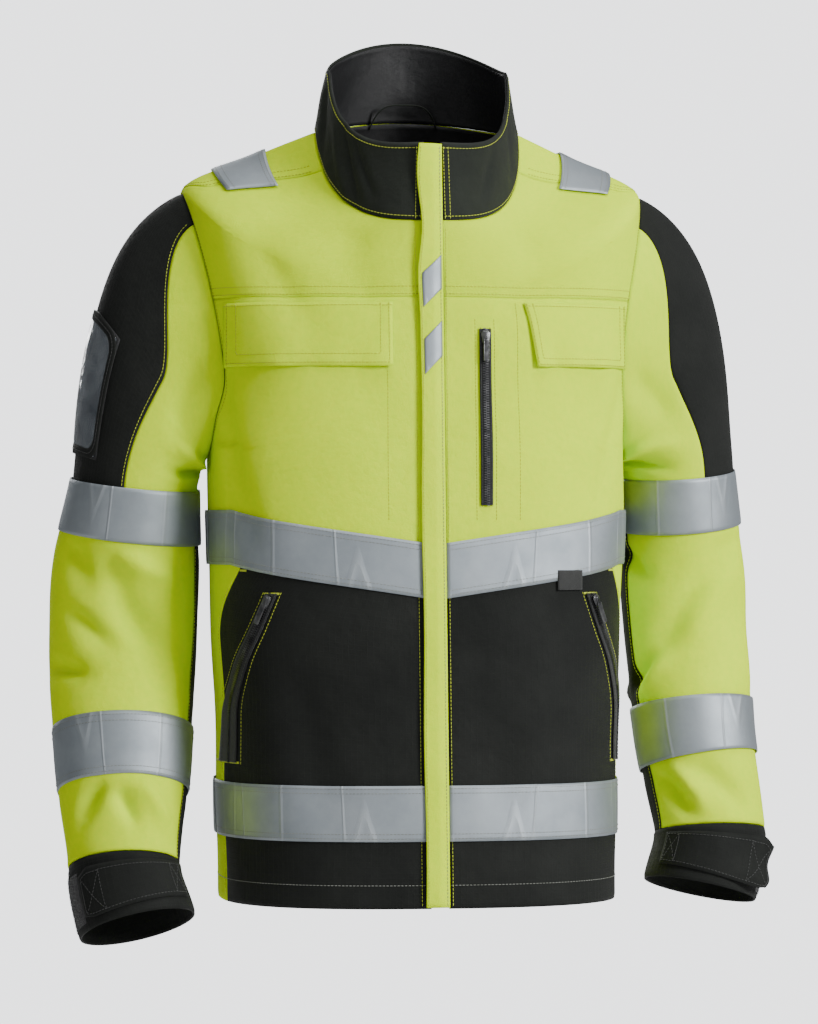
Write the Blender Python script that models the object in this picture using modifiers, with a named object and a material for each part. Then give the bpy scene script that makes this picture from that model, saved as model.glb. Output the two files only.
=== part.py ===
"""A high-visibility work jacket, hanging from its loop, as separate sewn pieces.

Metres, +Z up, front towards -Y, wearer's left at +X. The origin is the top of the hang loop.
Torso and collar are rings round the wearer, sleeves are rings round the arm; every cloth piece is a
patch of one of these surfaces, lifted off it and given its thickness.
"""

import math

import bmesh
import bpy
from mathutils import Matrix, Vector

# Where the loop's top lies in the pattern's own frame: height above the centre-front hem.
LOOP_Y = 0.072
LOOP_HEIGHT = 0.742

# Cloth layers, measured outwards from the shell's outer face.
SHELL = 0.001
LINING_LIFT = -0.0072
BAG_LIFT = -0.0036
TRIM_LIFT = 0.0012
SHOULDER_LIFT = 0.0030
TRIM = 0.0008
SEAM = 0.0004

# Torso rings: the fraction up the side, then the values there.
ARMHOLE_LOW = 0.58
ARMHOLE_TOP = 0.85
ARMHOLE_HALF = 27.0
HALF_WIDTH = [(0, 0.183), (0.25, 0.186), (0.45, 0.192), (0.58, 0.193), (0.72, 0.202), (0.85, 0.215),
              (0.93, 0.150), (1, 0.094)]
SIDE_HEIGHT = [(0, 0.0), (0.58, 0.42), (0.72, 0.537), (0.85, 0.652), (0.93, 0.686), (1, 0.708)]
SIDE_Y = [(0, 0.0), (0.58, 0.006), (0.85, 0.030), (0.93, 0.022), (1, -0.005)]
FRONT_HEIGHT = [(0, 0.0), (0.58, 0.405), (0.85, 0.557), (1, 0.621)]
BACK_HEIGHT = [(0, 0.0), (0.58, 0.42), (0.85, 0.610), (1, 0.725)]
BACK_Y = [(0, 0.140), (0.25, 0.136), (0.58, 0.141), (0.72, 0.138), (0.85, 0.124), (1, 0.090)]
SQUARENESS = [(0, 2.6), (0.72, 2.6), (0.85, 2.3), (1, 2.0)]
HEM_FRONT_Y = -0.150
FRONT_LEAN = 0.0725
BACK_HEM_DROP = 0.006

COLLAR_FRONT = 0.071
COLLAR_SIDE = 0.057
COLLAR_BACK = 0.075
COLLAR_TOP_HALF = 0.083
COLLAR_TOP_BACK = 0.080

# Sleeve stations: upper tape, elbow, lower tape, cuff top, cuff end, as (x, y, height, half width,
# half depth), x away from the body. The two arms hang a little differently.
ARM = {
    "r": [(0.258, 0.036, 0.384, 0.058, 0.065), (0.268, 0.044, 0.270, 0.069, 0.063),
          (0.272, 0.006, 0.130, 0.062, 0.058), (0.274, -0.032, 0.032, 0.051, 0.052),
          (0.2635, -0.052, -0.022, 0.0535, 0.051)],
    "l": [(0.254, 0.036, 0.395, 0.053, 0.063), (0.263, 0.046, 0.280, 0.059, 0.061),
          (0.2695, 0.026, 0.151, 0.055, 0.056), (0.280, 0.004, 0.057, 0.052, 0.051),
          (0.268, -0.006, 0.002, 0.053, 0.050)],
}
UPPER_TAPE = (1.02, 1.46)
LOWER_TAPE = (2.80, 3.28)
SLEEVE_SEAM = 1.24
ARM_STEPS = 20

# Heights above the centre-front hem.
TAPE_WIDTH = 0.050
YOKE_SEAM = 0.551
BACK_YOKE_SEAM = 0.600
CHEST_TAPE_FRONT = 0.2765
CHEST_TAPE_SIDE = 0.308
HEM_TAPE = 0.060
FLAP_TOP = 0.546
FLAP_BOTTOM = 0.488
FRONT_GAP = 0.014
SIDE_SEAM_FRONT = 75.0
SIDE_SEAM_BACK = 106.0

CHEST_ZIP_X = 0.0465
CHEST_ZIP = (0.362, 0.522)
HAND_ZIP = [(0.128, 0.179), (0.170, 0.179), (0.215, 0.171), (0.250, 0.158), (0.282, 0.146)]
CHAIN_HALF = 0.0028
SLIDER_LENGTH = 0.011

COLOURS = {
    "yellow": (0.62, 0.83, 0.015, 0.75, 0.0),
    "black": (0.012, 0.014, 0.012, 0.8, 0.0),
    "tape": (0.28, 0.31, 0.33, 0.45, 0.0),
    "lining": (0.02, 0.02, 0.022, 0.6, 0.0),
    "zip": (0.015, 0.015, 0.016, 0.5, 0.0),
    "metal": (0.10, 0.10, 0.11, 0.35, 1.0),
    "vinyl": (0.55, 0.60, 0.64, 0.1, 0.0),
    "label": (0.03, 0.03, 0.03, 0.5, 0.0),
}


def clear_scene():
    for old in list(bpy.data.objects):
        bpy.data.objects.remove(old, do_unlink=True)


def mix(a, b, t):
    return a + (b - a) * t


def ease(t):
    t = min(max(t, 0.0), 1.0)
    return t * t * (3 - 2 * t)


def along(keys, t):
    """The value at t on a smooth curve through (t, value) keys that doesn't overshoot them."""
    last = len(keys) - 2
    k = 0
    while k < last and t > keys[k + 1][0]:
        k += 1
    (t0, a), (t1, b) = keys[k], keys[k + 1]
    step = t1 - t0
    slope = (b - a) / step
    before = (a - keys[k - 1][1]) / (t0 - keys[k - 1][0]) if k > 0 else slope
    after = (keys[k + 2][1] - b) / (keys[k + 2][0] - t1) if k < last else slope
    start = 0.0 if before * slope <= 0 else 2 * before * slope / (before + slope)
    end = 0.0 if after * slope <= 0 else 2 * after * slope / (after + slope)
    f = (t - t0) / step
    return (
        a * (1 + 2 * f) * (1 - f) ** 2
        + step * start * f * (1 - f) ** 2
        + b * f * f * (3 - 2 * f)
        + step * end * f * f * (f - 1)
    )


def placed(x, y, height):
    return Vector((x, y - LOOP_Y, height - LOOP_HEIGHT))


# Surfaces. Each takes two parameters and returns a point and a point inside, to tell out from in.


def torso(u, v):
    """u is the angle round from centre front, positive to the wearer's left; v goes up from the hem."""
    sine, cosine = math.sin(math.radians(u)), math.cos(math.radians(u))
    power = along(SQUARENESS, v)
    reach = (abs(sine) ** power + abs(cosine) ** power) ** (-1 / power)
    x = along(HALF_WIDTH, v) * sine * reach
    ahead = abs(cosine) * reach
    side_y, side_height = along(SIDE_Y, v), along(SIDE_HEIGHT, v)
    if cosine > 0:
        # Towards the neck the edge drops early and runs level, which scoops the neckline.
        scooped = mix(ahead ** 1.7, 1 - (1 - min(ahead, 1)) ** 1.6, ease((v - 0.85) / 0.15))
        height = mix(side_height, along(FRONT_HEIGHT, v), scooped)
        y = mix(side_y, HEM_FRONT_Y + FRONT_LEAN * height, ahead)
    else:
        height = mix(side_height, along(BACK_HEIGHT, v), ahead ** 1.7)
        height -= BACK_HEM_DROP * ahead * max(0.0, 1 - 3 * v)
        y = mix(side_y, along(BACK_Y, v), ahead)
    return placed(x, y, height), placed(0, side_y * 0.5, height - 0.02)


def collar(u, w):
    """u as on the torso; w goes from the neck seam to the rim."""
    foot, inside = torso(u, 1.0)
    sine, cosine = math.sin(math.radians(u)), math.cos(math.radians(u))
    foot_front = torso(0, 1.0)[0]
    rise = COLLAR_FRONT if cosine > 0 else COLLAR_BACK
    height = foot.z + mix(COLLAR_SIDE, rise, abs(cosine) ** 1.5)
    front_y = foot_front.y + FRONT_LEAN * COLLAR_FRONT
    side_y = -0.010 - LOOP_Y
    end_y = front_y if cosine > 0 else COLLAR_TOP_BACK - LOOP_Y
    rim = Vector((COLLAR_TOP_HALF * sine, mix(side_y, end_y, abs(cosine)), height))
    point = foot.lerp(rim, w)
    return point, Vector((0, side_y, point.z))


def armhole(side, a):
    """The armhole's edge on the torso; a is 0 at the shoulder tip and 90 at the front."""
    v = mix(ARMHOLE_LOW, ARMHOLE_TOP, (1 + math.cos(math.radians(a))) / 2)
    return sign(side) * (90 - ARMHOLE_HALF * math.sin(math.radians(a))), v


def sign(side):
    return -1 if side == "r" else 1


def arm_station(side, t):
    keys = ARM[side]
    spread = [[(k + 1, row[n]) for k, row in enumerate(keys)] for n in range(5)]
    x, y, height, wide, deep = [along(column, t) for column in spread]
    return placed(sign(side) * x, y, height), wide, deep


def arm_ring(side, a, t):
    centre, wide, deep = arm_station(side, t)
    low = arm_station(side, min(t + 0.05, 5.0))[0]
    high = arm_station(side, max(t - 0.05, 1.0))[0]
    down = (low - high).normalized()
    out = Vector((sign(side), 0, 0))
    out = (out - down * out.dot(down)).normalized()
    front = Vector((0, -1, 0))
    front = (front - down * front.dot(down) - out * front.dot(out)).normalized()
    angle = math.radians(a)
    return centre + out * wide * math.cos(angle) + front * deep * math.sin(angle), centre, down


def sleeve(side):
    """a is 0 on the outer side and 90 at the front; t is 0 at the armhole, 1 at the upper tape."""

    def surface(a, t):
        point, centre, down = arm_ring(side, a, max(t, 1.0))
        if t >= 1:
            return point, centre
        u, v = armhole(side, a)
        inside_edge = sign(side) * 90 + (u - sign(side) * 90) * 0.95
        start = lifted(torso, inside_edge, mix(v, 0.715, 0.03), 0.0030)
        chord = (point - start).length
        over = (1 + math.cos(math.radians(a))) / 2
        leave = Vector((sign(side) * (0.10 + 0.80 * over), 0, -1 + 0.62 * over)).normalized()
        f = t
        place = (
            start * ((1 + 2 * f) * (1 - f) ** 2)
            + leave * chord * (f * (1 - f) ** 2)
            + point * (f * f * (3 - 2 * f))
            - down * chord * (f * f * (1 - f))
        )
        root = placed(sign(side) * 0.205, 0.012, 0.53)
        return place, root.lerp(centre, ease(f))

    return surface


def normal(surface, p, q):
    step_p, step_q = 0.05, 0.0005
    along_p = surface(p + step_p, q)[0] - surface(p - step_p, q)[0]
    up = min(q + step_q, 1.0) if surface in (torso, collar) else q + step_q
    along_q = surface(p, up)[0] - surface(p, q - step_q if q > 0 else q)[0]
    found = along_p.cross(along_q).normalized()
    point, inside = surface(p, q)
    return -found if found.dot(point - inside) < 0 else found


def lifted(surface, p, q, lift):
    point = surface(p, q)[0]
    return point + normal(surface, p, q) * lift if lift else point


# Finding places on the torso by their height or by their distance from the centre.


def level(u, height):
    """The v at which the torso at angle u is this high above the hem."""
    low, high = 0.0, 1.0
    for _ in range(26):
        v = (low + high) / 2
        if torso(u, v)[0].z + LOOP_HEIGHT < height:
            low = v
        else:
            high = v
    return (low + high) / 2


def angle_at(x, height):
    """The angle at which the front of the torso is this far from the centre line."""
    low, high = 0.0, 90.0
    for _ in range(22):
        u = (low + high) / 2
        if torso(u, level(u, height))[0].x < abs(x):
            low = u
        else:
            high = u
    return math.copysign((low + high) / 2, x)


def armhole_half(v):
    t = (v - ARMHOLE_LOW) / (ARMHOLE_TOP - ARMHOLE_LOW)
    return ARMHOLE_HALF * 2 * math.sqrt(t * (1 - t)) if 0 < t < 1 else 0.0


def shoulder_seam(v):
    """The forward shoulder seam, from the shoulder tip to the side of the neck."""
    return 90 - 14 * ease((v - ARMHOLE_TOP) / 0.035) - 3 * ease((v - 0.88) / 0.12)


def front_edge(v):
    return 90 - armhole_half(v) if v < ARMHOLE_TOP else shoulder_seam(v)


def tape_low(u):
    """The chest tape's lower edge: a shallow V, lowest at centre front, level round the back."""
    return mix(CHEST_TAPE_FRONT, CHEST_TAPE_SIDE, min(abs(u) / 62.0, 1.0))


# Making objects.


def collection(name):
    made = bpy.data.collections.new(name)
    bpy.context.scene.collection.children.link(made)
    return made


def finish(name, colour):
    red, green, blue, rough, metal = COLOURS[colour]
    made = bpy.data.materials.new(name)
    made.use_nodes = True
    shader = made.node_tree.nodes["Principled BSDF"]
    shader.inputs["Base Color"].default_value = (red, green, blue, 1)
    shader.inputs["Roughness"].default_value = rough
    shader.inputs["Metallic"].default_value = metal
    return made


def add_object(name, mesh, colour, parent=None):
    made = bpy.data.objects.new(name, mesh)
    mesh.materials.append(finish(name, colour))
    PARTS.objects.link(made)
    if parent:
        made.parent = parent
        made.matrix_parent_inverse = parent.matrix_world.inverted()
    return made


def pivot(name, place):
    """An empty on a joint's axis; the moving pieces are its children."""
    empty = bpy.data.objects.new(name, None)
    empty.empty_display_size = 0.02
    empty.location = place
    PARTS.objects.link(empty)
    bpy.context.view_layer.update()
    return empty


def cloth(name, surface, chart, columns, rows, lift, colour, thick=SHELL, ring=False, parent=None):
    """A piece of cloth on a surface. chart(s, r), s and r from 0 to 1, gives the surface's two values."""
    shape = bmesh.new()
    grid = []
    for j in range(rows + 1):
        line = []
        for i in range(columns if ring else columns + 1):
            p, q = chart(i / columns, j / rows)
            line.append(shape.verts.new(lifted(surface, p, q, lift + thick)))
        grid.append(line)
    wide = len(grid[0])
    for j in range(rows):
        for i in range(columns):
            a, b = grid[j][i], grid[j][(i + 1) % wide]
            c, d = grid[j + 1][(i + 1) % wide], grid[j + 1][i]
            shape.faces.new((a, b, c, d))
    face_out(shape, normal(surface, *chart(0.5 / columns, 0.5 / rows)))
    return solid_cloth(name, shape, thick, colour, parent)


def face_out(shape, outward):
    shape.faces.ensure_lookup_table()
    shape.normal_update()
    if shape.faces[0].normal.dot(outward) < 0:
        bmesh.ops.reverse_faces(shape, faces=shape.faces[:])


def solid_cloth(name, shape, thick, colour, parent=None):
    mesh = bpy.data.meshes.new(name)
    shape.to_mesh(mesh)
    shape.free()
    mesh.shade_smooth()
    made = add_object(name, mesh, colour, parent)
    wall = made.modifiers.new("Thickness", "SOLIDIFY")
    wall.thickness = thick
    wall.offset = -1
    return made


def box_at(name, centre, axes, size, colour, bevel=0.0, parent=None):
    """A block turned to three axes, with its edges rounded."""
    shape = bmesh.new()
    bmesh.ops.create_cube(shape, size=1.0)
    turn = Matrix([[axes[n][row] * size[n] for n in range(3)] for row in range(3)]).to_4x4()
    turn.translation = centre
    bmesh.ops.transform(shape, matrix=turn, verts=shape.verts[:])
    bmesh.ops.recalc_face_normals(shape, faces=shape.faces[:])
    mesh = bpy.data.meshes.new(name)
    shape.to_mesh(mesh)
    shape.free()
    made = add_object(name, mesh, colour, parent)
    if bevel:
        rounded = made.modifiers.new("Rounded", "BEVEL")
        rounded.width = bevel
        rounded.segments = 1
    return made


# The shell and what is sewn to it.


def between(low, high):
    """A chart whose rows run between two height functions and its columns between two edges.

    With no upper height it runs on to the neck, and its middle row is level with the shoulder tips.
    """

    def build(sides, inner, outer):
        def chart(s, r):
            u, v = mix(inner(0.4), outer(0.4), s), 0.4
            for _ in range(4):
                bottom = level(u, low(u))
                if high:
                    v = mix(bottom, level(u, high(u)), r)
                else:
                    v = mix(bottom, ARMHOLE_TOP, 2 * r) if r < 0.5 else mix(ARMHOLE_TOP, 1.0, 2 * r - 1)
                u = mix(inner(v), outer(v), s)
            return sides * u, v

        return chart

    return build


def placket_edge(v):
    """The angle of a front panel's edge beside the zip."""
    width = along(HALF_WIDTH, v)
    return math.degrees(math.asin(FRONT_GAP / width))


def pocket_panel_edge(v):
    """The black front panel's side edge, curving in towards the pocket's top."""
    top = 0.455
    return SIDE_SEAM_FRONT - 20 * ease((v - top + 0.12) / 0.12)


def make_fronts():
    for side in ("r", "l"):
        s = sign(side)
        yoke = between(lambda u: YOKE_SEAM + SEAM, None)(s, placket_edge, front_edge)
        cloth(f"front_yoke_{side}", torso, yoke, 12, 6, -SHELL, "yellow")
        chest = between(lambda u: tape_low(u) + 0.006, lambda u: YOKE_SEAM - SEAM)
        chest = chest(s, placket_edge, front_edge)
        cloth(f"chest_panel_{side}", torso, chest, 13, 6, -SHELL, "yellow")
        lower = between(lambda u: 0.0, lambda u: tape_low(u) + 0.005)
        lower = lower(s, placket_edge, lambda v: pocket_panel_edge(v) - 0.15)
        cloth(f"lower_front_{side}", torso, lower, 12, 5, -SHELL, "black")
        gore = between(lambda u: 0.0, lambda u: tape_low(u) + 0.005)
        gore = gore(s, lambda v: pocket_panel_edge(v) + 0.15, lambda v: SIDE_SEAM_BACK - 0.15)
        cloth(f"side_panel_{side}", torso, gore, 6, 5, -SHELL, "yellow")


def make_back():
    def right(v):
        return 90 + armhole_half(v) + 0.15 if v < ARMHOLE_TOP else shoulder_seam(v) + 0.25

    def round_back(v):
        return 360 - right(v)

    yoke = between(lambda u: BACK_YOKE_SEAM + SEAM, None)(1, right, round_back)
    cloth("back_yoke", torso, yoke, 26, 6, -SHELL, "yellow")
    panel = between(lambda u: CHEST_TAPE_SIDE + 0.006, lambda u: BACK_YOKE_SEAM - SEAM)
    panel = panel(1, right, round_back)
    cloth("back_panel", torso, panel, 24, 6, -SHELL, "yellow")
    lower = between(lambda u: -BACK_HEM_DROP, lambda u: CHEST_TAPE_SIDE + 0.005)
    lower = lower(1, lambda v: SIDE_SEAM_BACK + 0.15, lambda v: 360 - SIDE_SEAM_BACK - 0.15)
    cloth("back_lower", torso, lower, 18, 5, -SHELL, "black")


def make_collar():
    edge = math.degrees(math.asin(FRONT_GAP / 0.090))

    def round_neck(s, r):
        return mix(edge, 360 - edge, s), mix(0.065, 1.0, r)

    def inner_neck(s, r):
        return mix(edge + 2, 358 - edge, s), mix(0.07, 0.97, r)

    cloth("collar_outer", collar, round_neck, 48, 2, 0.0, "black", thick=0.0016)
    cloth("collar_lining", collar, inner_neck, 28, 1, -0.0024, "lining")


def make_lining():
    """One bag of lining, open down the front, with two armholes."""
    shape = bmesh.new()
    rows_low = [0.03, 0.20, 0.40, ARMHOLE_LOW]
    rows_arm = [0.63, 0.69, 0.76, 0.82, ARMHOLE_TOP]
    rows_top = [0.90, 0.94, 0.97]
    spots = {}

    def vertex(u, v):
        key = (round(u % 360, 4), round(v, 4))
        if key not in spots:
            spots[key] = shape.verts.new(lifted(torso, u, v, LINING_LIFT + SHELL))
        return spots[key]

    def strip(rows, start, end, columns):
        for low, high in zip(rows, rows[1:]):
            for i in range(columns):
                corners = []
                for row, f in ((low, i), (low, i + 1), (high, i + 1), (high, i)):
                    corners.append(vertex(mix(start(row), end(row), f / columns), row))
                shape.faces.new(corners)

    def opening(v):
        return armhole_half(v) * 1.1 + (9.5 if v > 0.80 else 0.0)

    for start, end, columns in (
        (lambda v: 12, lambda v: 90 - opening(v), 6),
        (lambda v: 90 + opening(v), lambda v: 180, 6),
        (lambda v: 180, lambda v: 270 - opening(v), 6),
        (lambda v: 270 + opening(v), lambda v: 348, 6),
    ):
        strip(rows_low + rows_arm + rows_top, start, end, columns)
    face_out(shape, normal(torso, 15, 0.08))
    solid_cloth("body_lining", shape, SHELL, "lining")


def make_body_tapes():
    def tape(name, low, start, end, columns, direction):
        strip = between(low, lambda u: low(u) + TAPE_WIDTH)
        strip = strip(direction, lambda v: start, lambda v: end)
        cloth(name, torso, strip, columns, 2, TRIM_LIFT, "tape", thick=TRIM)

    front = math.degrees(math.asin(0.0095 / 0.19))
    for side in ("r", "l"):
        tape(f"chest_tape_{side}", tape_low, front, 89.7, 16, sign(side))
        tape(f"hem_tape_{side}", lambda u: HEM_TAPE, front, 89.7, 16, sign(side))
    tape("chest_tape_back", lambda u: CHEST_TAPE_SIDE, 90.3, 269.7, 30, 1)
    tape("hem_tape_back", lambda u: HEM_TAPE, 90.3, 269.7, 30, 1)
    for side in ("r", "l"):
        def across(s, r, turn=sign(side)):
            return turn * mix(70.0, 114.0, s), mix(0.894, 0.945, r)

        cloth(f"shoulder_tape_{side}", torso, across, 10, 3, SHOULDER_LIFT, "tape", thick=TRIM)


def front_patch(x0, x1, low, high, slant=0.0):
    """A chart for a patch of the front between two distances from the centre line."""
    tall = high - low

    def chart(s, r):
        height = mix(low, high, r)
        x = mix(x0, x1, s) + slant * (height - high) / tall * (1 - s)
        u = angle_at(x, height)
        return u, level(u, height)

    return chart


def make_pockets():
    cloth("hand_pocket_bag_r", torso, front_patch(-0.055, -0.158, 0.118, 0.262), 8, 4,
          BAG_LIFT, "lining")
    cloth("hand_pocket_bag_l", torso, front_patch(0.055, 0.158, 0.118, 0.262), 8, 4,
          BAG_LIFT, "lining")
    cloth("side_label", torso, front_patch(0.112, 0.136, 0.285, 0.303), 3, 1, 0.0024, "label",
          thick=TRIM)


def flap_hinge(side):
    """A point on a chest flap's hinge: in front of its top edge, where the chest stands furthest out."""
    u = angle_at(sign(side) * 0.050, FLAP_TOP)
    return lifted(torso, u, level(u, FLAP_TOP), TRIM_LIFT + SHELL)


def make_chest_flaps():
    right = pivot("chest_flap_r_hinge", flap_hinge("r"))
    left = pivot("chest_flap_l_hinge", flap_hinge("l"))
    cloth("chest_flap_r", torso, front_patch(-0.038, -0.185, FLAP_BOTTOM, FLAP_TOP), 12, 3,
          TRIM_LIFT, "yellow", parent=right)
    cloth("chest_flap_l", torso, front_patch(0.085, 0.186, FLAP_BOTTOM, FLAP_TOP, -0.010), 9, 3,
          TRIM_LIFT, "yellow", parent=left)


# The front fastening.


def front_line(x, height, lift):
    """A point beside the straight front edge, lifted square to it."""
    back = Vector((0, -1, FRONT_LEAN)).normalized()
    return placed(x, HEM_FRONT_Y + FRONT_LEAN * height, height) + back * lift


def front_axes():
    up = Vector((0, FRONT_LEAN, 1)).normalized()
    return [Vector((1, 0, 0)), Vector((0, -1, FRONT_LEAN)).normalized(), up]


def front_bar(name, x0, x1, low, high, lift0, lift1, colour, bevel=0.0, parent=None):
    """A straight strip on the front line, between two heights and two lifts."""
    start, end = front_line((x0 + x1) / 2, low, (lift0 + lift1) / 2), front_line(
        (x0 + x1) / 2, high, (lift0 + lift1) / 2)
    size = (abs(x1 - x0), abs(lift1 - lift0), (end - start).length)
    return box_at(name, (start + end) / 2, front_axes(), size, colour, bevel, parent)


ZIP_HIGH = 0.684
FLAP_LIFT = 0.0030


def make_front_zip():
    front_bar("front_zip_tape_r", -0.0134, -CHAIN_HALF - 0.0004, 0.002, ZIP_HIGH, -0.0022, -0.0014, "zip")
    front_bar("front_zip_tape_l", CHAIN_HALF + 0.0004, 0.0134, 0.002, ZIP_HIGH, -0.0022, -0.0014, "zip")
    front_bar("front_zip_chain", -CHAIN_HALF, CHAIN_HALF, 0.004, ZIP_HIGH - 0.004, -0.0030, -0.0006, "metal")
    slider = pivot("front_zip_slide", front_line(0, ZIP_HIGH - 0.012, 0))
    front_bar("front_zip_slider", -0.0048, 0.0048, ZIP_HIGH - 0.020, ZIP_HIGH - 0.004, -0.0002, 0.0018,
              "metal", 0.0006, slider)


def make_storm_flap():
    hinge = pivot("storm_flap_hinge", front_line(0.0085, 0.35, FLAP_LIFT))
    front_bar("storm_flap", -0.0135, 0.0085, 0.001, 0.690, FLAP_LIFT, FLAP_LIFT + 0.0012, "yellow", 0.0,
              hinge)
    for name, low, high in (("upper", 0.541, 0.572), ("lower", 0.480, 0.512)):
        chevron(f"chevron_{name}", low, high, hinge)


def chevron(name, low, high, parent):
    """A slanting patch of tape on the storm flap, higher at the wearer's left."""
    shape = bmesh.new()
    lift, rise = FLAP_LIFT + 0.0016, 0.017
    outline = ((-0.0100, low), (0.0070, low + rise), (0.0070, high + rise), (-0.0100, high))
    corners = [shape.verts.new(front_line(x, height, lift + 0.0005)) for x, height in outline]
    shape.faces.new(corners)
    face_out(shape, front_axes()[1])
    made = solid_cloth(name, shape, 0.0005, "tape", parent)
    return made


# Surface zips: a tape with its chain, a slider and a puller that hangs from it.


def path_frame(a, b):
    """Across, out and along for a step between two surface places (u, v)."""
    start, end = lifted(torso, *a, 0.0), lifted(torso, *b, 0.0)
    up = (end - start).normalized()
    out = normal(torso, (a[0] + b[0]) / 2, (a[1] + b[1]) / 2)
    out = (out - up * out.dot(up)).normalized()
    return [up.cross(out).normalized() * -1, out, up], start, end


def zip_strip(name, places, half, colour):
    """A tape with a raised chain along its middle, on a route over the torso."""
    profile = [(-half, 0.0), (-CHAIN_HALF, 0.0), (-CHAIN_HALF, 0.0012), (CHAIN_HALF, 0.0012),
               (CHAIN_HALF, 0.0), (half, 0.0), (half, -0.0006), (-half, -0.0006)]
    shape = bmesh.new()
    rings = []
    for k, place in enumerate(places):
        a, b = places[max(k - 1, 0)], places[min(k + 1, len(places) - 1)]
        axes, _, _ = path_frame(a, b)
        centre = lifted(torso, *place, 0.0018)
        rings.append([shape.verts.new(centre + axes[0] * x + axes[1] * y) for x, y in profile])
    count = len(profile)
    for low, high in zip(rings, rings[1:]):
        for n in range(count):
            m = (n + 1) % count
            shape.faces.new((low[n], low[m], high[m], high[n]))
    shape.faces.new(rings[0])
    shape.faces.new(rings[-1])
    bmesh.ops.recalc_face_normals(shape, faces=shape.faces[:])
    mesh = bpy.data.meshes.new(name)
    shape.to_mesh(mesh)
    shape.free()
    return add_object(name, mesh, colour)


def zip_slider(name, top, below, clear=0.0038):
    """A slider at a zip's top end and its puller, hinged at the slider's upper edge."""
    axes, _, _ = path_frame(below, top)
    start = lifted(torso, *top, 0.0)
    seat = start + axes[1] * clear - axes[2] * (SLIDER_LENGTH / 2 + 0.002)
    slide = pivot(f"{name}_slide", seat)
    box_at(f"{name}_slider", seat + axes[1] * 0.0010, axes, (0.0085, 0.0020, SLIDER_LENGTH), "metal",
           0.0005, slide)
    hinge_place = seat + axes[1] * 0.0032 + axes[2] * 0.003
    hinge = pivot(f"{name}_puller_hinge", hinge_place)
    hinge.parent = slide
    hinge.matrix_parent_inverse = slide.matrix_world.inverted()
    bpy.context.view_layer.update()
    length = 0.027
    box_at(f"{name}_puller", hinge_place - axes[2] * (length / 2 - 0.001), axes,
           (0.0055, 0.0014, length), "metal", 0.0004, hinge)


def hand_zip_places(side):
    places = []
    for k in range(9):
        height = mix(HAND_ZIP[0][0], HAND_ZIP[-1][0], k / 8)
        x = sign(side) * along(HAND_ZIP, height)
        u = angle_at(x, height)
        places.append((u, level(u, height)))
    return places


def make_surface_zips():
    places = []
    for k in range(7):
        height = mix(CHEST_ZIP[0], CHEST_ZIP[1], k / 6)
        u = angle_at(CHEST_ZIP_X, height)
        places.append((u, level(u, height)))
    zip_strip("chest_zip", places, 0.0055, "zip")
    zip_slider("chest_zip", places[-1], places[-2])
    for side in ("r", "l"):
        route = hand_zip_places(side)
        zip_strip(f"hand_zip_{side}", route, 0.0050, "zip")
        zip_slider(f"hand_zip_{side}", route[-1], route[-3], clear=0.0048)


# Sleeves.


def black_half(t):
    """Half the angle that the black outer panel covers."""
    return mix(38.0, 78.0, ease(t / 0.45)) - 4 * ease((t - 0.5) / 0.5)


def make_sleeve(side):
    hinge = pivot(f"shoulder_{side}", placed(sign(side) * SHOULDER_X, 0.030, SHOULDER_HEIGHT))
    surface = sleeve(side)

    def outer(s, r):
        t = mix(0.0, SLEEVE_SEAM - 0.004, r)
        return mix(-black_half(t), black_half(t), s), t

    def inner(s, r):
        t = mix(0.0, SLEEVE_SEAM - 0.004, r)
        return mix(black_half(t) + 0.5, 360 - black_half(t) - 0.5, s), t

    def tube(low, high):
        return lambda s, r: (360 * s, mix(low, high, r))

    cloth(f"sleeve_panel_{side}", surface, outer, 10, 7, -SHELL, "black", parent=hinge)
    cloth(f"upper_sleeve_{side}", surface, inner, 14, 7, -SHELL, "yellow", parent=hinge)
    cloth(f"lower_sleeve_{side}", surface, tube(SLEEVE_SEAM + 0.004, 3.985), ARM_STEPS, 7, -SHELL,
          "yellow", ring=True, parent=hinge)
    cloth(f"upper_sleeve_tape_{side}", surface, tube(*UPPER_TAPE), ARM_STEPS, 2, TRIM_LIFT, "tape",
          thick=TRIM, ring=True, parent=hinge)
    cloth(f"lower_sleeve_tape_{side}", surface, tube(*LOWER_TAPE), ARM_STEPS, 2, TRIM_LIFT, "tape",
          thick=TRIM, ring=True, parent=hinge)
    cloth(f"cuff_{side}", surface, tube(4.0, 4.99), ARM_STEPS, 2, -SHELL, "black", thick=0.0018,
          ring=True, parent=hinge)
    make_tab(side, surface, hinge)
    return hinge


TAB_SEWN = 150.0
TAB_FREE = 32.0


def make_tab(side, surface, sleeve_hinge):
    seat = lifted(surface, TAB_SEWN, 4.45, TAB_LIFT + 0.0008)
    hinge = pivot(f"cuff_tab_{side}_hinge", seat)
    hinge.parent = sleeve_hinge
    hinge.matrix_parent_inverse = sleeve_hinge.matrix_world.inverted()
    bpy.context.view_layer.update()
    cloth(f"cuff_tab_{side}", surface, lambda s, r: (mix(TAB_SEWN, TAB_FREE, s), mix(4.82, 4.12, r)),
          9, 2, TAB_LIFT, "black", thick=0.0016, parent=hinge)


TAB_LIFT = 0.0022
SHOULDER_X = 0.2125
SHOULDER_HEIGHT = 0.660


def make_identity_pocket(hinge):
    surface = sleeve("r")

    def card(s, r):
        return mix(-22.0, 44.0, s), mix(0.925, 0.495, r)

    def pane(s, r):
        return mix(-19.0, 41.0, s), mix(0.905, 0.53, r)

    cloth("id_pocket_back", surface, card, 8, 5, TRIM_LIFT, "black", thick=TRIM, parent=hinge)
    cloth("id_pocket_window", surface, pane, 8, 5, 0.0030, "vinyl", thick=0.0005, parent=hinge)


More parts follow.
